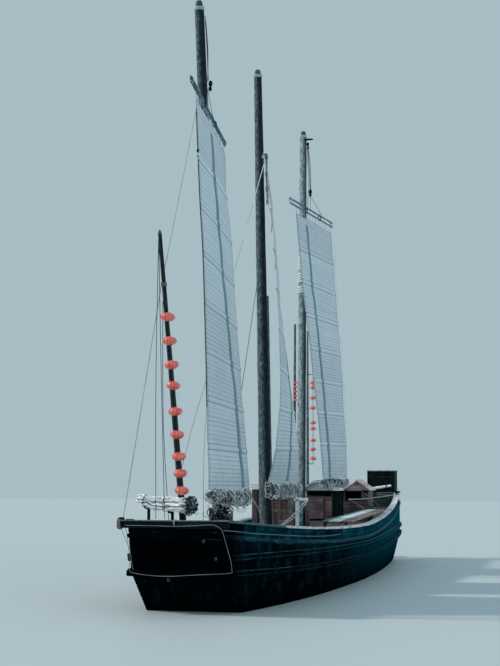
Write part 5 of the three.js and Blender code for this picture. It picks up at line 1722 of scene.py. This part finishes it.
def rope_table():
    """Each rope: its body, or the two that it runs between, its finish, its radius and its points."""
    bow = "bow_lantern_mast"
    stay_top = on_mast(bow, 8.37, -0.062)
    main_block, mizzen_block = Vector((0.17, -4.84, 13.34)), Vector((0.0, 1.33, 15.12))
    return {
        # round the bow board, from the beam down to the lower beam and back
        "bow_loop_rope": ("root", "grey_rope", 0.0065, [
            (-1.17, -12.685, 2.78), (-0.4, -12.69, 2.78), (0.07, -12.685, 2.77), (0.6, -12.69, 2.79),
            (1.0, -12.69, 2.81), (1.17, -12.68, 2.74), (1.22, -12.6, 2.64), (1.25, -12.38, 2.31),
            (1.29, -12.2, 1.98), (1.31, -12.17, 1.76), (1.25, -12.155, 1.67), (0.46, -12.155, 1.62),
            (-0.2, -12.155, 1.575), (-0.73, -12.155, 1.585), (-1.2, -12.155, 1.65), (-1.23, -12.17, 1.76),
            (-1.22, -12.28, 2.18), (-1.2, -12.5, 2.62), (-1.19, -12.66, 2.76),
        ]),
        "bow_loop_tail": ("root", "grey_rope", 0.0065, [
            (-1.3, -12.62, 2.72), (-1.24, -12.4, 2.4), (-1.2, -12.28, 2.2), (-1.18, -12.18, 1.9),
            (-1.15, -12.155, 1.7),
        ]),
        "beam_toggle_rope": ("root", "pale_rope", 0.011, [
            (0.06, -12.69, 2.79), (0.05, -12.695, 2.86), (0.08, -12.68, 2.915), (0.09, -12.62, 2.918),
        ]),
        # from the bow loop aft along the port bulwark
        "side_rope": ("root", "teal_rope", 0.011, [
            (1.22, -12.53, 2.68), (1.42, -11.95, 2.63), (1.62, -11.28, 2.565), (1.92, -9.93, 2.48),
            (2.16, -8.3, 2.39), (2.34, -6.6, 2.33), (2.41, -5.1, 2.32),
        ]),
        # the stay, and the brace that goes on from it to the fore yard's peak
        "bow_stay_rope": ("root", "pale_rope", 0.012, [(-1.25, -12.6, 2.922), stay_top]),
        "fore_brace": (("root", "fore_rig"), "pale_rope", 0.01, [
            stay_top, stay_top.lerp(edge_of("fore", 12.75, 0.0), 0.5) - Vector((0, 0, 0.03)),
            edge_of("fore", 12.75, 0.0),
        ]),
        "head_line_starboard": ("root", "dark_rope", 0.008, [
            on_mast(bow, 9.42, -0.04), (-0.2, -13.3, 6.2), (-0.42, -12.62, 2.94),
        ]),
        "head_line_middle": ("root", "dark_rope", 0.008, [
            on_mast(bow, 9.3, -0.045), (-0.12, -13.15, 6.2), (-0.2, -12.62, 2.94),
        ]),
        "head_line_deck": ("root", "dark_rope", 0.008, [
            on_mast(bow, 8.0, -0.06), (-0.22, -12.7, 5.2), (-0.28, -12.05, 2.62),
        ]),
        # bowlines from the fore sail's luff
        "fore_bowline_high": (("fore_rig", "root"), "pale_rope", 0.009, [
            edge_of("fore", 6.25, 0.0), (0.33, -12.1, 5.2), on_mast(bow, 4.15, 0.08),
        ]),
        "fore_bowline_low": (("fore_rig", "root"), "pale_rope", 0.008, [
            edge_of("fore", 5.7, 0.0), (0.55, -11.95, 4.4), (0.46, -11.7, 2.75),
        ]),
        "fore_luff_rope": ("fore_rig", "bolt_rope", 0.013, [
            edge_of("fore", z, -0.002) for z in (5.6, 6.5, 7.5, 8.5, 9.5, 10.5, 11.5, 12.2, 12.75)
        ]),
        # halyard from the fore mast's head through two blocks to the yard
        "fore_halyard": ("fore_rig", "dark_rope", 0.011, [
            (0.15, -10.72, 15.7), (0.25, -10.85, 14.8), (0.33, -11.0, 13.9),
        ]),
        "fore_halyard_fall": ("fore_rig", "dark_rope", 0.009, [
            (0.14, -10.62, 15.6), (0.2, -10.62, 14.8), (0.3, -10.95, 13.9),
        ]),
        "fore_bridle_fore": ("fore_rig", "grey_rope", 0.009, [
            (0.33, -11.03, 13.66), (0.34, -11.1, 13.3), head_of("fore", 0.47),
        ]),
        "fore_bridle_aft": ("fore_rig", "grey_rope", 0.009, [
            (0.33, -11.03, 13.66), (0.33, -10.7, 13.2), head_of("fore", 0.68),
        ]),
        # lifts from the block on the main mast to the fore sail's leech
        "fore_lift_high": (("root", "fore_rig"), "sail_cord", 0.013, [
            main_block - Vector((0, 0, 0.08)), edge_of("fore", 9.35, 1.0),
        ]),
        "fore_lift_low": (("root", "fore_rig"), "dark_rope", 0.008, [
            on_mast("main_mast", 9.65, -0.12, -0.1), edge_of("fore", 6.3, 1.0),
        ]),
        # halyard of the mizzen, from its peg down to the yard
        "mizzen_halyard": (("root", "mizzen_rig"), "dark_rope", 0.012, [
            mizzen_block - Vector((0, 0, 0.07)), (0.1, 1.1, 14.2), (0.17, 0.93, 13.44),
        ]),
        "mizzen_halyard_fall": (("root", "mizzen_rig"), "dark_rope", 0.009, [
            mizzen_block - Vector((0, -0.06, 0.07)), (0.12, 1.2, 14.2), (0.17, 1.0, 13.44),
        ]),
        "mizzen_bridle_fore": ("mizzen_rig", "grey_rope", 0.009, [
            (0.17, 0.93, 13.28), head_of("mizzen", 0.46),
        ]),
        "mizzen_bridle_aft": ("mizzen_rig", "grey_rope", 0.009, [
            (0.17, 0.93, 13.28), head_of("mizzen", 0.76),
        ]),
        "mizzen_mast_rope": ("root", "pale_rope", 0.011, [
            on_mast("mizzen_mast", 15.1, 0.13, 0.02), on_mast("mizzen_mast", 13.9, 0.17, 0.1),
            on_mast("mizzen_mast", 12.9, 0.15, 0.05), on_mast("mizzen_mast", 11.9, 0.135),
        ]),
        "mizzen_leech_line": ("mizzen_rig", "sail_cord", 0.009, [
            head_of("mizzen", 0.99, 0.15),
            *(edge_of("mizzen", z, 1.0) + Vector((0.02, 0.16, 0)) for z in (11, 8.5, 6)),
            edge_of("mizzen", 4.0, 0.99),
        ]),
        # beside the main mast
        "main_cheek_rope_high": ("root", "pale_rope", 0.016, [
            (-0.47, -4.12, 3.69), (-0.3, -4.16, 3.685), (-0.15, -4.2, 3.69),
        ]),
        "main_cheek_rope_low": ("root", "pale_rope", 0.016, [
            (-0.47, -4.12, 3.61), (-0.3, -4.16, 3.605), (-0.15, -4.2, 3.61),
        ]),
        "main_mast_line": ("root", "pale_rope", 0.011, [
            (-0.3, -4.06, 2.6), on_mast("main_mast", 3.7, -0.215), on_mast("main_mast", 5.2, -0.19),
        ]),
        "fore_sheet_high": (("fore_rig", "root"), "sail_cord", 0.01, [
            (0.08, -6.12, 3.42), (0.1, -5.3, 2.95), (0.06, -4.42, 2.32),
        ]),
        "fore_sheet_low": (("fore_rig", "root"), "sail_cord", 0.009, [
            (0.12, -6.3, 3.34), (0.0, -5.2, 3.1), (-0.12, -4.2, 2.95),
        ]),
        # above the planks on the port side
        "side_life_rope": ("root", "pale_rope", 0.016, [
            (1.2, 1.93, 3.18), (1.2, 4.13, 3.16), (1.2, 7.5, 3.18), (1.18, 10.65, 3.22), (1.13, 11.26, 3.27),
        ]),
        "side_diagonal_fore": ("root", "grey_rope", 0.008, [
            (1.22, 1.93, 3.17), (1.45, 2.4, 2.98), (1.6, 2.95, 2.77),
        ]),
        "side_diagonal_middle": ("root", "grey_rope", 0.008, [
            (1.22, 4.13, 3.3), (1.45, 4.5, 3.0), (1.6, 4.95, 2.6),
        ]),
        "side_diagonal_aft": ("root", "grey_rope", 0.008, [
            (1.22, 4.13, 3.4), (1.4, 5.5, 3.05), (1.55, 6.9, 2.5),
        ]),
        "belaying_rope": ("root", "pale_rope", 0.018, [
            (0.08, 0.485, 3.16), (0.93, -4.4, 2.88), (1.76, -9.3, 2.69),
        ]),
        "belaying_rope_second": ("root", "pale_rope", 0.016, [
            (0.13, 0.485, 3.14), (0.97, -4.3, 2.84), (1.77, -9.15, 2.68),
        ]),
    }


def ropes():
    for name, (body, finish, radius, points) in rope_table().items():
        work = Work()
        work.tube(curved(points, 10 * len(points)), radius, 7)
        if isinstance(body, tuple):
            body = (*body, points[0], points[-1])
        work.make(name, finish, ["bow_stay"] if name == "bow_stay_rope" else (), body)


def blocks():
    """Wooden blocks with iron straps where the halyards turn, and the peg across the mizzen's head."""
    for body, spots in {
        "fore_rig": [
            ((0.36, -10.9, 13.85), 0.052), ((0.36, -10.93, 13.71), 0.045),
            (edge_of("fore", 11.75, 0.0), 0.03),
        ],
        "root": [((0.19, -4.84, 13.34), 0.055), ((0.0, 1.33, 15.14), 0.045), ((0.0, 1.36, 15.03), 0.038)],
        "mizzen_rig": [((0.17, 0.95, 13.42), 0.055), ((0.17, 0.93, 13.31), 0.045)],
    }.items():
        work = Work()
        for place, r in spots:
            p = Vector(place)
            rings = [p + Vector((0, 0, z * r * 1.35)) for z in (-1.0, -0.8, -0.3, 0.3, 0.8, 1.0)]
            work.tube(rings, [r * k for k in (0.35, 0.75, 1.0, 1.0, 0.75, 0.35)], 10)
            loop = [p + Vector((0, cos(a) * r * 1.08, sin(a) * r * 1.5))
                    for a in (2 * pi * i / 14 for i in range(15))]
            work.tube(loop, 0.009, 6, 1)
        if body == "root":
            peg = [(-0.32, 1.53, 15.33), (0.0, 1.42, 15.33), (0.16, 1.36, 15.31)]
            work.tube(peg, [0.03, 0.034, 0.026], 8)
        work.make(f"{body}_blocks", ["shade_wood", "iron"], body=body, smooth=50)
    for name, height, turns in (("low", 10.15, 3), ("middle", 10.55, 4), ("high", 11.05, 6)):
        spread = 0.04 * turns
        a, b = on_mast("mizzen_mast", height - spread), on_mast("mizzen_mast", height + spread)
        r = radius_at("mizzen_mast", height) + 0.012
        lashing(f"mizzen_mast_turns_{name}", a, b, r, r, turns, "white_cloth", 0.024, up=(0, 1, 0))
    heap = on_mast("fore_mast", 3.0)
    knot_of_line("fore_mast_tangle", heap, (0.34, 0.38, 0.26), 7, "sail_cord", 0.007, 21, spread=0.8)
    heap = on_mast("fore_mast", 2.98)
    knot_of_line("fore_mast_dark_tangle", heap, (0.28, 0.32, 0.22), 22, "dark_rope", 0.014, 22, spread=0.6)
    chance = random.Random(41)
    vary, pick = chance.uniform, chance.choice
    strands = Work()
    for _ in range(26):
        p = on_sail(SAILS["fore"], SAILS["fore"]["rows"][0], vary(0.02, 0.9)) - Vector((0, 0, 0.3))
        q = p + Vector((vary(-0.2, 0.2), vary(-0.3, 0.3), -vary(0.1, 0.42)))
        bend = p.lerp(q, 0.5) + Vector((vary(-0.06, 0.06), 0, 0))
        strands.tube(curved([p, bend, q], 8), vary(0.004, 0.008), 4, pick((0, 0, 1)))
    strands.make("fore_foot_strands", ["sail_cord", "dark_rope"], body="fore_rig")
    knot = edge_of("fore", 11.62, 0.0)
    knot_of_line("fore_luff_knot", knot, (0.05, 0.05, 0.07), 7, "sail_cord", 0.009, 23, "fore_rig")
    knot_of_line("main_block_knot", Vector((0.12, -4.9, 13.33)), (0.05, 0.05, 0.1), 9, "sail_cord", 0.011, 24)
    a, b = on_mast("bow_lantern_mast", 8.34), on_mast("bow_lantern_mast", 8.42)
    lashing("bow_stay_turns", a, b, 0.062, 0.062, 4, "pale_rope", 0.011, up=(0, 1, 0))


# Camera, light and floor

def stage():
    camera = bpy.data.objects.new("camera", bpy.data.cameras.new("camera"))
    camera.data.lens = 75.68
    camera.data.sensor_width = 36
    camera.data.sensor_fit = "AUTO"
    camera.data.clip_end = 500
    camera.location = (10.714, -44.033, 3.92)
    camera.rotation_euler = (radians(95.87), 0, radians(15.7))
    bpy.context.scene.collection.objects.link(camera)
    bpy.context.scene.camera = camera

    made, tree, shader, _ = material("pale_floor")
    feed(tree, shader, {"Base Color": linear("#c3d0d4"), "Roughness": 0.6})
    mesh = bpy.data.meshes.new("floor")
    reach = 150
    corners = [(-reach, -reach), (reach, -reach), (reach, reach), (-reach, reach)]
    mesh.from_pydata([(x, y, WATERLINE) for x, y in corners], [], [(0, 1, 2, 3)])
    mesh.materials.append(made)
    floor = bpy.data.objects.new("floor", mesh)
    bpy.context.scene.collection.objects.link(floor)

    world = bpy.data.worlds.new("sky")
    world.use_nodes = True
    bpy.context.scene.world = world
    backing = world.node_tree.nodes["Background"]
    backing.inputs[0].default_value = linear("#c3dae3")
    backing.inputs[1].default_value = 0.72
    bpy.context.scene.view_settings.view_transform = "Standard"
    for name, kind, turn, energy, colour, size in (
        ("sun", "SUN", (56, 0, -74), 2.0, "#fff3e8", 0.1),
        ("fill", "SUN", (74, 0, 62), 0.5, "#dcebf4", 0.8),
    ):
        light = bpy.data.objects.new(name, bpy.data.lights.new(name, kind))
        light.data.energy = energy
        light.data.color = linear(colour)[:3]
        light.data.angle = size
        light.rotation_euler = [radians(a) for a in turn]
        bpy.context.scene.collection.objects.link(light)


stage()
hull_planking()
deck_planks()
hull_fittings()
topsides()
bow_and_stern()
# The solid house walls behind the boards take the near-black boards: painted shade.
repaint(["house_front", "house_side_port", "house_side_starboard", "house_back"], "shade_wood")
masts()
sail_cloths()
yards()
foot_bundles()
lantern_strings()
deckhouse()
hatches()
stowed_sail()
deck_gear()
side_planks()
stern_gear()
rudder()
ropes()
blocks()
